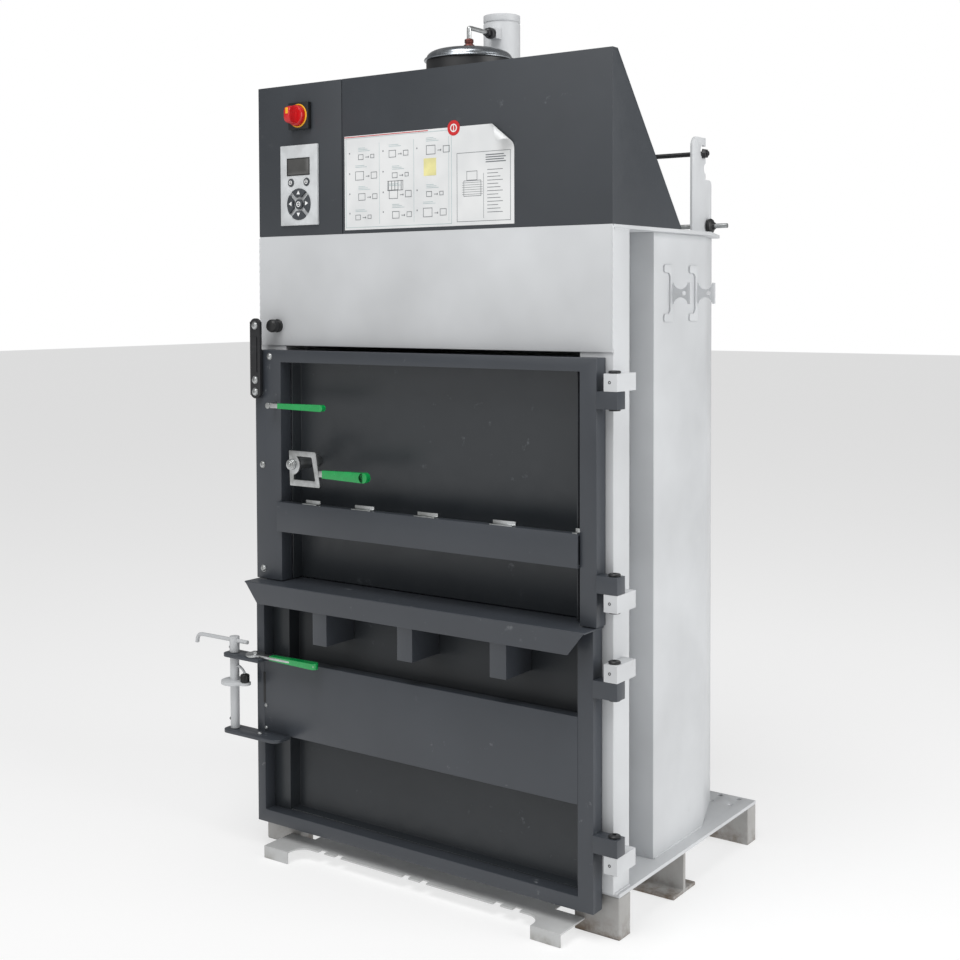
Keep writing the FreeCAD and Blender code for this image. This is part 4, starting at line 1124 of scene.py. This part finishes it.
@dataclass
class HoodTop:
    """Spun dome, pipe and fittings of the hydraulic unit behind the hood."""

    def build(self) -> None:
        """Make the dome, its band and the pipe run."""
        low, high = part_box("tank_dome")
        centre = ((low[0] + high[0]) / 2, (low[1] + high[1]) / 2)
        radius = (high[0] - low[0]) / 2
        base = low[2]
        rings = [(radius - 3 * MM, 0.0), (radius - 0.5 * MM, 0.5 * MM), (radius, 2.5 * MM),
                 (radius - 1 * MM, 5 * MM), (radius - 5 * MM, 6 * MM)]
        shoulder = radius - 5 * MM
        for step in range(1, 10):
            angle = math.radians(step * 10)
            rings.append((shoulder - 34 * MM * (1 - math.cos(angle)),
                          6 * MM + 19 * MM * math.sin(angle)))
        rings += [(shoulder - 55 * MM, 27 * MM), (12 * MM, 29.5 * MM)]
        dome = turned("spun_dome", (*centre, base), Along.UP, rings, 72)
        pick(dome)
        bpy.ops.object.shade_smooth_by_angle(angle=math.radians(30))
        place_on(dome, Body.BASE, Finish.SPUN, "spun_aluminium", "tank_dome")
        self.pipe(centre, base + 29.5 * MM)

    def pipe(self, centre: tuple[float, float], foot: float) -> None:
        """The pressure pipe from the dome to the ram's port.

        Args:
            centre: The dome's middle in X and Y.
            foot: The dome's top in Z.
        """
        low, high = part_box("pressure_pipe")
        run = high[2] - 10 * MM
        end = high[1]
        bend = 16 * MM
        x, y = centre
        tube = rod_along("bent_pipe", [(x, y, foot), (x, y, run - bend * 1.6), (x, y, run - 2 * MM),
                                       (x, y + 2 * MM, run), (x, y + bend * 1.6, run),
                                       (x, end, run)], 5.2 * MM)
        place_on(tube, Body.BASE, Finish.ZINC, "black_steel", "pressure_pipe")
        gland = bundle("dome_fitting", [
            turned("nut", (x, y, foot), Along.UP, [(12 * MM, 0), (12.5 * MM, 1 * MM),
                                                   (12.5 * MM, 9 * MM), (9.5 * MM, 10.5 * MM)], 6),
            turned("nut", (x, y, foot + 10 * MM), Along.UP, [
                (9 * MM, 0), (9 * MM, 3 * MM), (10.5 * MM, 3.2 * MM), (10.5 * MM, 11 * MM),
                (7.5 * MM, 13 * MM)], 6)])
        place_on(soften(gland, 0.5 * MM, 2, 25), Body.BASE, Finish.COPPER, "black_steel")
        union = bundle("ram_fitting", [
            turned("nut", (x, end - 26 * MM, run), Along.REAR, [
                (7.5 * MM, 0), (10.5 * MM, 2 * MM), (10.5 * MM, 11 * MM), (9 * MM, 12 * MM)], 6),
            turned("nut", (x, end - 14 * MM, run), Along.REAR, [
                (12 * MM, 0), (13 * MM, 1.5 * MM), (13 * MM, 12 * MM), (12 * MM, 14 * MM)], 24)])
        place_on(soften(union, 0.5 * MM, 2, 25), Body.BASE, Finish.BLACK_STEEL, "black_steel")


@dataclass
class Welds:
    """Weld beads at the seams that show."""

    ripple: float = 6 * MM

    def bead(self, name: str, start: Point, end: Point, radius: float, body: Body,
             finish: Finish, slot: str) -> None:
        """A rippled bead along a straight seam.

        Args:
            name: The piece's name.
            start: The seam's first end.
            end: The seam's last end.
            radius: The bead's radius.
            body: The body it rides on.
            finish: Its finish.
            slot: The record's material slot.
        """
        span = Vector(end) - Vector(start)
        count = max(3, int(span.length / self.ripple))
        points = []
        for step in range(count + 1):
            swell = 0.35 * radius * math.sin(step * 2.4)
            spot = Vector(start) + span * step / count
            points.append((spot.x + swell, spot.y - abs(swell) * 0.5, spot.z + swell * 0.4))
        place_on(rod_along(name, points, radius), body, finish, slot)

    def build(self) -> None:
        """Lay the beads."""
        low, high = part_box("header_panel")
        right_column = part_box("column_right")
        self.bead("header_weld_right", (high[0] + 0.2 * MM, low[1] + 2 * MM, low[2] + 6 * MM),
                  (high[0] + 0.2 * MM, low[1] + 2 * MM, high[2] - 4 * MM), 2.4 * MM, Body.BASE,
                  Finish.LIGHT, "light_paint")
        self.bead("header_weld_left", (low[0] - 0.2 * MM, low[1] + 2 * MM, low[2] + 6 * MM),
                  (low[0] - 0.2 * MM, low[1] + 2 * MM, high[2] - 4 * MM), 2.4 * MM, Body.BASE,
                  Finish.LIGHT, "light_paint")
        foot = right_column[0][2]
        for side, word in ((-1, "left"), (1, "right")):
            outer = side * right_column[1][0]
            self.bead(f"column_foot_weld_{word}", (outer, right_column[0][1] + 4 * MM, foot + 1.5 * MM),
                      (outer, right_column[1][1] - 2 * MM, foot + 1.5 * MM), 2.6 * MM, Body.BASE,
                      Finish.LIGHT, "light_paint")
            self.bead(f"column_top_weld_{word}",
                      (outer - side * 1 * MM, right_column[0][1] + 4 * MM,
                       right_column[1][2] - 1 * MM),
                      (outer - side * 1 * MM, right_column[1][1] - 2 * MM,
                       right_column[1][2] - 1 * MM), 2.2 * MM, Body.BASE, Finish.LIGHT,
                      "light_paint")
            box_low, box_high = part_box(f"side_box_{word}")
            face = side * max(abs(box_low[0]), abs(box_high[0]))
            self.bead(f"box_foot_weld_{word}", (face, box_low[1] + 3 * MM, foot + 1 * MM),
                      (face, box_low[1] + 232 * MM, foot + 1 * MM), 2.0 * MM, Body.BASE,
                      Finish.LIGHT, "light_paint")


@dataclass
class DoorFittings:
    """Screws, strap tabs and interlock parts on the upper door."""

    hardware: Hardware

    def build(self) -> None:
        """Make the upper door's pieces."""
        frame_low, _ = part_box("upper_door_frame")
        face = frame_low[1]
        heads_low, heads_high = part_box("door_screws")
        spots = ((-0.426, heads_high[2] - 8 * MM), (-0.451, 0.924), (-0.451, 0.676))
        for index, (x, z) in enumerate(spots, start=1):
            name = f"stile_screw_{index}"
            screw = self.hardware.socket_screw(name, (x, face, z), Along.FRONT, 7.2 * MM, 4.2 * MM)
            place_on(screw, Body.UPPER, Finish.ZINC, "zinc",
                     *(["door_screws"] if index == 1 else []))
        self.strap_tabs()
        self.interlock()
        self.latch_pivot()

    def strap_tabs(self) -> None:
        """Pale bent tabs on top of the cross rail that keep the straps apart."""
        low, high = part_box("upper_door_cross_rail")
        top = high[2]
        front = low[1]
        for index, (x, width) in enumerate(((-0.300, 44), (-0.145, 56), (0.035, 56), (0.238, 58),
                                            (0.420, 12)), start=1):
            half = width / 2 * MM
            foot = block(f"strap_tab_{index}", (x - half, front + 3 * MM, top - 0.5 * MM),
                         (x + half, front + 20 * MM, top + 2 * MM))
            lip = block("lip", (x - half, front + 17 * MM, top),
                        (x + half, front + 20 * MM, top + 9 * MM))
            place_on(soften(weld_up(foot, lip), 0.9 * MM), Body.UPPER, Finish.ZINC, "zinc")

    def interlock(self) -> None:
        """Round-ended actuator bar with its bolts, and the switch it works."""
        low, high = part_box("interlock_arm")
        front = low[1] + 6 * MM
        x = (low[0] + high[0]) / 2
        half = (high[0] - low[0]) / 2 - 4 * MM
        bar = block("actuator_bar", (x - half, front, low[2] + half * 0.5),
                    (x + half, front + 7 * MM, high[2] - half * 0.5))
        ends = []
        for z in (low[2] + half, high[2] - half):
            ends.append(drum("end", (x, front + 7 * MM, z), Along.FRONT, half, 7 * MM, 48))
        rib = block("rib", (x - half * 0.38, front - 1.8 * MM, low[2] + 62 * MM),
                    (x + half * 0.38, front + 2 * MM, high[2] - 44 * MM))
        feet = [drum("foot", (x + 3 * MM, front + 13 * MM, z), Along.FRONT, 8 * MM, 8 * MM, 32)
                for z in (low[2] + 16 * MM, low[2] + 44 * MM)]
        bar = weld_up(bar, *ends, rib, *feet)
        place_on(soften(bar, 1.6 * MM), Body.UPPER, Finish.BLACK_STEEL, "black_steel",
                 "interlock_arm")
        for index, z in enumerate((low[2] + 16 * MM, low[2] + 44 * MM, high[2] - 17 * MM), start=1):
            bolt = self.hardware.socket_screw(f"actuator_bolt_{index}", (x, front, z),
                                              Along.FRONT, 8 * MM, 4.6 * MM)
            place_on(bolt, Body.UPPER, Finish.ZINC, "zinc")
        low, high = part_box("interlock_switch")
        centre = ((low[0] + high[0]) / 2, high[1], (low[2] + high[2]) / 2)
        radius = (high[0] - low[0]) / 2
        body = turned("interlock_head", centre, Along.FRONT, [
            (radius, 0), (radius, 5 * MM), (radius * 0.8, 6 * MM), (radius * 0.8, 12 * MM),
            (radius * 0.97, 13 * MM), (radius * 0.97, 24 * MM), (radius * 0.78, 28 * MM),
            (radius * 0.45, 29.5 * MM)], 14)
        place_on(soften(body, 0.5 * MM, 2), Body.BASE, Finish.BLACK, "black_plastic",
                 "interlock_switch")

    def latch_pivot(self) -> None:
        """The looped latch plate and the bolt that it turns on."""
        low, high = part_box("latch_lever")
        _, bolt_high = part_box("latch_bolt")
        front, rear = low[1], high[1]
        x = (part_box("latch_bolt")[0][0] + bolt_high[0]) / 2
        z = (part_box("latch_bolt")[0][2] + bolt_high[2]) / 2
        right = x + 86 * MM
        plate = block("latch_loop", (x - 9 * MM, front, low[2]), (right, rear, high[2]))
        for vertex in plate.data.vertices:
            if vertex.co.x > right - 1 * MM and vertex.co.z > high[2] - 1 * MM:
                vertex.co.x -= 13 * MM
            if vertex.co.x < x and vertex.co.z < low[2] + 1 * MM:
                vertex.co.x += 3 * MM
        round_edges(plate, (0, 1, 0), 4 * MM, (right - 20 * MM, -1, low[2] - 1),
                    (right + 1 * MM, 1, high[2] + 1))
        boss = drum("boss", (x, rear, z), Along.FRONT, 14 * MM, rear - front, 56)
        tang = block("tang", (right - 4 * MM, front, z - 24 * MM), (high[0], rear, z - 10 * MM))
        window = block("window", (x + 5 * MM, front - 0.01, low[2] + 14 * MM),
                       (right - 14 * MM, rear + 0.01, high[2] - 12 * MM))
        for vertex in window.data.vertices:
            if vertex.co.x > x + 20 * MM and vertex.co.z > high[2] - 20 * MM:
                vertex.co.x -= 11 * MM
        round_edges(window, (0, 1, 0), 4 * MM, (right - 30 * MM, -1, -1), (right, 1, 3))
        ring = drum("ring", (x, rear + 0.02, z), Along.FRONT, 24 * MM, 0.06, 56)
        carve(window, ring)
        hole = drum("hole", (x, rear + 0.01, z), Along.FRONT, 8.3 * MM, 0.03)
        weld_up(plate, boss, tang)
        carve(plate, window, hole)
        place_on(soften(plate, 0.9 * MM), Body.LATCH, Finish.ZINC, "zinc", "latch_lever")
        low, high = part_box("latch_bolt")
        seat = ((low[0] + high[0]) / 2, low[1] + 6 * MM, (low[2] + high[2]) / 2)
        bolt = self.hardware.hex_bolt("latch_pivot_head", seat, Along.FRONT, 9.5 * MM, 8 * MM)
        place_on(bolt, Body.UPPER, Finish.ZINC, "zinc")


@dataclass
class Grips:
    """Dipped green sleeves on the three levers."""

    def flat_sleeve(self, name: str, low: Point, high: Point, level: bool) -> Piece:
        """A sleeve with a round end that swells a little towards it.

        Args:
            name: The piece's name.
            low: Lowest corner of its box.
            high: Highest corner of its box.
            level: True if the lever is flat in the horizontal plane.

        Returns:
            The sleeve.
        """
        x0, y0, z0 = low
        x1, y1, z1 = high
        radius = (y1 - y0) / 2 if level else (z1 - z0) / 2
        mid_y, mid_z = (y0 + y1) / 2, (z0 + z1) / 2
        shaft = block(name, (x0, y0, z0), (x1 - radius, y1, z1))
        if level:
            end = drum("end", (x1 - radius, mid_y, z0), Along.UP, radius, z1 - z0, 48)
        else:
            end = drum("end", (x1 - radius, y1, mid_z), Along.FRONT, radius, y1 - y0, 48)
        sleeve = weld_up(shaft, end)
        thickness = min(y1 - y0, z1 - z0)
        for vertex in sleeve.data.vertices:
            share = max(0.0, min(1.0, (vertex.co.x - x0) / (x1 - x0)))
            squeeze = 0.74 + 0.26 * share
            vertex.co.y = mid_y + (vertex.co.y - mid_y) * squeeze
            vertex.co.z = mid_z + (vertex.co.z - mid_z) * squeeze
        return soften(sleeve, thickness * 0.42, 6, 30)

    def build(self) -> None:
        """Make the sleeves."""
        for name, node_name, body, level in (
                ("pull_sleeve", "pull_grip", Body.PULL, False),
                ("latch_sleeve", "latch_grip", Body.LATCH, False),
                ("lock_sleeve", "lock_grip", Body.LOCK_LEVER, True)):
            low, high = (Vector(corner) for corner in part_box(node_name))
            if level:
                trim = Vector((0, 2.5 * MM, 2 * MM))
                low, high = low + trim + Vector((12 * MM, 0, 0)), high - trim
            sleeve = self.flat_sleeve(name, tuple(low), tuple(high), level)
            place_on(sleeve, body, Finish.GREEN, "green_grip", node_name)


@dataclass
class LockDetails:
    """Round-edged collar, roller, bent rod and screws of the lower door's lock."""

    hardware: Hardware

    def build(self) -> None:
        """Make the lock's pieces."""
        low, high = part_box("lock_tube")
        centre = ((low[0] + high[0]) / 2, (low[1] + high[1]) / 2)
        collar_radius = (high[0] - low[0]) / 2
        level = 0.393
        collar = turned("lock_collar", (*centre, level - 1 * MM), Along.UP, [
            (collar_radius - 5 * MM, 0), (collar_radius - 1.5 * MM, 1.5 * MM),
            (collar_radius, 5 * MM), (collar_radius - 1.5 * MM, 8.5 * MM),
            (collar_radius - 5 * MM, 10 * MM)], 64)
        bore = drum("bore", (*centre, level - 10 * MM), Along.UP, 10.8 * MM, 40 * MM)
        carve(collar, bore)
        pick(collar)
        bpy.ops.object.shade_smooth_by_angle(angle=math.radians(50))
        place_on(collar, Body.LOCK, Finish.LIGHT, "light_paint")
        low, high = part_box("lock_roller")
        spot = ((low[0] + high[0]) / 2, (low[1] + high[1]) / 2, low[2])
        radius = (high[0] - low[0]) / 2
        roller = turned("lock_wheel", spot, Along.UP, [
            (radius * 0.85, 0), (radius, 1.5 * MM), (radius, 16 * MM), (radius * 0.85, 18 * MM),
            (radius * 0.45, 18.4 * MM), (radius * 0.45, 20 * MM)], 40)
        pick(roller)
        bpy.ops.object.shade_smooth_by_angle(angle=SMOOTH)
        place_on(roller, Body.LOCK, Finish.BLACK, "black_steel", "lock_roller")
        self.rod()
        self.cam(centre)
        self.lugs()
        for index, z in enumerate((0.305, 0.479), start=1):
            screw = self.hardware.socket_screw(f"lock_set_screw_{index}",
                                               (centre[0] - 9.5 * MM, centre[1], z), Along.LEFT,
                                               4.5 * MM, 7 * MM)
            place_on(screw, Body.LOCK, Finish.BLACK_STEEL, "black_steel")

    def cam(self, centre: tuple[float, float]) -> None:
        """The egg-shaped plate that carries the roller, and the strap round the roller.

        Args:
            centre: The lock tube's middle in X and Y.
        """
        low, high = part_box("lock_roller")
        spot = ((low[0] + high[0]) / 2, (low[1] + high[1]) / 2)
        level = low[2] - 7.5 * MM
        wide = drum("cam_plate", (*centre, level), Along.UP, 30 * MM, 6 * MM, 48)
        nose = drum("nose", (*spot, level), Along.UP, 14 * MM, 6 * MM, 40)
        bore = drum("bore", (*centre, level - 0.01), Along.UP, 10.8 * MM, 0.03)
        plate = carve(weld_up(wide, nose), bore)
        place_on(soften(plate, 1 * MM), Body.LOCK, Finish.LIGHT, "light_paint")
        strap = rod_along("roller_strap", [
            (centre[0] + 8 * MM, centre[1], high[2] + 14 * MM),
            (centre[0] + 14 * MM, centre[1], high[2] + 16 * MM),
            (spot[0] - 13 * MM, spot[1], high[2] + 12 * MM),
            (spot[0] - 4 * MM, spot[1], high[2] + 6 * MM),
            (spot[0], spot[1], high[2] - 1 * MM)], 3 * MM)
        place_on(strap, Body.LOCK, Finish.LIGHT, "light_paint")

    def lugs(self) -> None:
        """The two bearing plates, rounded at their ends, and their screws."""
        low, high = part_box("lock_lugs")
        plates = from_cad("bearing_plates", "lock_lugs")
        round_edges(plates, (0, 0, 1), 20 * MM, (high[0] - 2 * MM, low[1] - 1, -1),
                    (high[0] + 1, high[1] - 20 * MM, 3))
        round_edges(plates, (0, 0, 1), 16 * MM, (low[0] - 1, -3, -1), (low[0] + 2 * MM, 3, 3))
        place_on(soften(plates, 1.2 * MM, 2), Body.LOWER, Finish.DARK_RAIL, "dark_paint",
                 "lock_lugs")
        screw = self.hardware.socket_screw("bearing_screw", (high[0] - 74 * MM, low[1] + 24 * MM,
                                                             low[2] + 8 * MM), Along.UP, 6 * MM,
                                           4 * MM)
        place_on(screw, Body.LOWER, Finish.ZINC, "zinc")

    def rod(self) -> None:
        """The handle rod, bent down at its free end."""
        low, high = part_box("lock_rod")
        y = (low[1] + high[1]) / 2
        top = high[2] - 5 * MM
        left = low[0] + 5 * MM
        rod = rod_along("lock_handle_rod", [
            (high[0], y, top), (left + 60 * MM, y, top), (left + 26 * MM, y, top),
            (left + 8 * MM, y, top - 1 * MM), (left + 1 * MM, y, top - 10 * MM),
            (left, y, low[2])], 4.8 * MM)
        place_on(rod, Body.LOCK, Finish.LIGHT, "light_paint", "lock_rod")


@dataclass
class HingeDetails:
    """Grub screws in the fixed hinge blocks and end caps on the pins."""

    hardware: Hardware
    pin_x: float = 0.5025
    pin_y: float = -0.325

    def build(self) -> None:
        """Make the hinge pieces."""
        low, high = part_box("hinge_blocks_fixed")
        front = low[1]
        x = (low[0] + high[0]) / 2
        for index, z in enumerate((1.149, 0.706, 0.565, 0.175), start=1):
            grub = turned(f"hinge_grub_{index}", (x - 2 * MM, front + 0.6 * MM, z), Along.FRONT,
                          [(3.2 * MM, 0), (3.2 * MM, 0.9 * MM)], 24)
            socket = drum("socket", (x - 2 * MM, front + 0.3 * MM, z), Along.FRONT, 1.7 * MM,
                          3 * MM, 6)
            place_on(carve(grub, socket), Body.BASE, Finish.BLACK_STEEL, "black_steel")
        for index, z in enumerate((1.167, 0.7595, 0.583, 0.2285), start=1):
            cap = turned(f"hinge_cap_{index}", (self.pin_x, self.pin_y, z + 0.2 * MM), Along.UP, [
                (12.2 * MM, 0), (12.6 * MM, 1 * MM), (12.6 * MM, 3.4 * MM), (11 * MM, 5 * MM),
                (7 * MM, 5.4 * MM)], 40)
            socket = drum("socket", (self.pin_x, self.pin_y, z + 2.5 * MM), Along.UP, 5 * MM, 9 * MM, 6)
            carve(cap, socket)
            pick(cap)
            bpy.ops.object.shade_smooth_by_angle(angle=math.radians(35))
            place_on(cap, Body.BASE, Finish.BLACK_STEEL, "black_steel")


@dataclass
class StrapEquipment:
    """Holder plates, side hooks, and the strapping rods with their end pieces."""

    def posts(self) -> None:
        """The holder plates with their upper corners rounded."""
        for word in ("left", "right"):
            low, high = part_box(f"strap_post_{word}")
            plate = from_cad(f"holder_plate_{word}", f"strap_post_{word}")
            round_edges(plate, (1, 0, 0), 24 * MM, (low[0] - 1, low[1] - 1, high[2] - 1 * MM),
                        (high[0] + 1, low[1] + 40 * MM, high[2] + 1))
            round_edges(plate, (1, 0, 0), 12 * MM,
                        (low[0] - 1, high[1] - 2 * MM, low[2] + 60 * MM),
                        (high[0] + 1, high[1] + 1, high[2]))
            place_on(soften(plate, 0.8 * MM, 2), Body.BASE, Finish.LIGHT, "light_paint",
                     f"strap_post_{word}")

    def hooks(self) -> None:
        """The side hooks, whose foot is cut back to a tab above and a tab below."""
        low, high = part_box("strap_hooks")
        hooks = from_cad("side_hooks", "strap_hooks")
        foot, gap = 40 * MM, 9 * MM
        for rear in (high[1], high[1] - 120 * MM):
            bite = block("bite", (low[0] - 0.01, rear - foot - 0.01, low[2] + 17 * MM),
                         (low[0] + 0.02, rear - gap - 3 * MM, high[2] - 17 * MM))
            round_edges(bite, (1, 0, 0), 12 * MM, (-1, rear - gap - 4 * MM, 0),
                        (1, rear, 2))
            carve(hooks, bite)
            for level, inside in ((low[2], 17 * MM), (high[2], -17 * MM)):
                round_edges(hooks, (1, 0, 0), 6 * MM,
                            (low[0] - 1, rear - foot - 1 * MM, min(level, level + inside) - 1 * MM),
                            (high[0] + 1, rear - foot + 1 * MM,
                             max(level, level + inside) + 1 * MM))
        place_on(soften(hooks, 1 * MM, 2), Body.BASE, Finish.LIGHT, "light_paint",
                 "strap_hooks")

    def build(self) -> None:
        """Make the holder plates and the rods with their end pieces."""
        self.posts()
        self.hooks()
        for node_name, word, radius in (("strap_rod_upper", "upper", 11 * MM),
                                        ("strap_rod_lower", "lower", 17 * MM)):
            low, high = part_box(node_name)
            y, z = (low[1] + high[1]) / 2, (low[2] + high[2]) / 2
            reach = high[0]
            rod = drum(f"{word}_strap_rod", (-reach, y, z), Along.RIGHT, 5.6 * MM, 2 * reach, 32)
            pick(rod)
            bpy.ops.object.shade_smooth_by_angle(angle=SMOOTH)
            finish = Finish.BLACK_STEEL if word == "upper" else Finish.ZINC
            slot = "black_steel" if word == "upper" else "bare_steel"
            place_on(rod, Body.BASE, finish, slot, node_name)
            for side, direction in ((-1, Along.LEFT), (1, Along.RIGHT)):
                label = "left" if side < 0 else "right"
                if word == "upper":
                    nut = turned(f"rod_nut_{label}", (side * 0.4065, y, z), direction, [
                        (radius * 1.15, 0), (radius * 1.15, 2 * MM), (radius, 2.1 * MM),
                        (radius, 9 * MM), (radius * 0.85, 10 * MM)], 6)
                    place_on(soften(nut, 0.6 * MM, 2, 25), Body.BASE, Finish.BLACK_STEEL,
                             "black_steel")
                else:
                    knob = turned(f"rod_knob_{label}", (side * 0.4065, y, z), direction, [
                        (radius * 0.7, 0), (radius, 2 * MM), (radius * 1.08, 6 * MM),
                        (radius, 10 * MM), (radius * 0.7, 12 * MM), (radius * 0.5, 13 * MM),
                        (radius * 0.5, 18 * MM)], 12)
                    place_on(soften(knob, 0.8 * MM, 2, 20), Body.BASE, Finish.BLACK,
                             "black_plastic")


@dataclass
class LowerDoorDetails:
    """A black plate that paints the shade inside a slot of the stile, and the small screws in the lower
    door.
    """

    hardware: Hardware

    def build(self) -> None:
        """Make the lower door's pieces."""
        low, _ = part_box("lower_door_wide_rail")
        face = low[1]
        # A thin black plate just proud of the stile paints the shade inside the slot.
        slot = block("stile_slot_painted_shade", (-0.455, face - 0.4 * MM, 0.352), (-0.448, face + 2 * MM, 0.426))
        place_on(soften(slot, 0.15 * MM, 2), Body.LOWER, Finish.BLACK, "black_steel")
        for index, (x, z) in enumerate(((-0.447, 0.346), (-0.447, 0.292)), start=1):
            screw = self.hardware.socket_screw(f"stile_pin_{index}", (x, face, z), Along.FRONT,
                                               4 * MM, 2.4 * MM)
            place_on(screw, Body.LOWER, Finish.ZINC, "zinc")


@dataclass
class Studio:
    """Pale floor, soft lights and the camera."""

    eye: Point = (1.9169, -2.7861, 1.3150)
    heading: float = 0.6159
    tilt: float = -0.0376
    roll: float = 0.0033
    lens: float = 53.21
    shift: tuple[float, float] = (-0.0006, -0.1325)
    # Strength of the white surroundings, as light on the machine and as seen behind it.
    world_light: float = 0.26
    world_seen: float = 1.0

    def floor(self) -> None:
        """A wide pale floor."""
        bpy.ops.object.select_all(action="DESELECT")
        bpy.ops.mesh.primitive_plane_add(size=60, location=(0, 0, -0.0005))
        ground = settle("studio_floor")
        material, tree, shader, place = blank("Studio floor")
        cloud = node(tree, "ShaderNodeTexNoise", {"Vector": place, "Scale": 0.4}).outputs["Fac"]
        tree.links.new(blend_colours(tree, cloud, linear("A8A8A8"), linear("ACACAC")),
                       shader.inputs["Base Color"])
        shader.inputs["Roughness"].default_value = 0.9
        shader.inputs["Emission Color"].default_value = (1, 1, 1, 1)
        shader.inputs["Emission Strength"].default_value = 0.6
        ground.data.materials.append(material)

    def light(self, name: str, place: Point, target: Point, size: float, power: float) -> None:
        """One square soft light that looks at a point.

        Args:
            name: The light's name.
            place: Where it stands.
            target: The point it looks at.
            size: Its side.
            power: Its power in watts.
        """
        bpy.ops.object.light_add(type="AREA", location=place)
        lamp = bpy.context.view_layer.objects.active
        lamp.name = name
        lamp.data.shape = "SQUARE"
        lamp.data.size = size
        lamp.data.energy = power
        aim = Vector(target) - Vector(place)
        lamp.rotation_euler = aim.to_track_quat("-Z", "Y").to_euler()

    def build(self) -> None:
        """Set up the studio."""
        self.floor()
        world = bpy.data.worlds.new("Studio")
        world.use_nodes = True
        tree = world.node_tree
        background = tree.nodes["Background"]
        background.inputs["Color"].default_value = (1, 1, 1, 1)
        seen = node(tree, "ShaderNodeLightPath").outputs["Is Camera Ray"]
        tree.links.new(ramp(tree, seen, 0.0, 1.0, self.world_light, self.world_seen),
                       background.inputs["Strength"])
        bpy.context.scene.world = world
        self.light("soft_right", (5.0, 0.3, 2.4), (0.2, 0.0, 0.9), 3.5, 160)
        self.light("soft_front", (-1.4, -5.3, 3.0), (0.0, -0.3, 0.9), 3.5, 42)
        self.light("soft_top", (0.3, -2.2, 4.7), (0.0, -0.4, 0.9), 2.6, 115)
        bpy.context.scene.view_settings.view_transform = "Standard"
        self.camera()

    def camera(self) -> None:
        """The camera, a little right of the machine and at breast height."""
        bpy.ops.object.camera_add(location=self.eye)
        camera = bpy.context.view_layer.objects.active
        turn = (Matrix.Rotation(self.heading, 3, "Z") @ Matrix.Rotation(self.tilt, 3, "X")
                @ Matrix.Rotation(self.roll, 3, "Y"))
        right, ahead, up = turn.col
        axes = Matrix((right, up, -ahead)).transposed()
        camera.rotation_euler = axes.to_euler()
        camera.data.lens = self.lens
        camera.data.sensor_width = 36.0
        camera.data.shift_x, camera.data.shift_y = self.shift
        bpy.context.scene.camera = camera


def main() -> None:
    """Build the machine's look in order."""
    logging.basicConfig(level=logging.INFO, format="%(name)s: %(message)s")
    hardware = Hardware()
    CadDress().dress()
    ControlPanel().build()
    Posters().build()
    HoodTop().build()
    Welds().build()
    DoorFittings(hardware).build()
    Grips().build()
    LockDetails(hardware).build()
    HingeDetails(hardware).build()
    StrapEquipment().build()
    LowerDoorDetails(hardware).build()
    Studio().build()


if __name__ == "__main__":
    main()
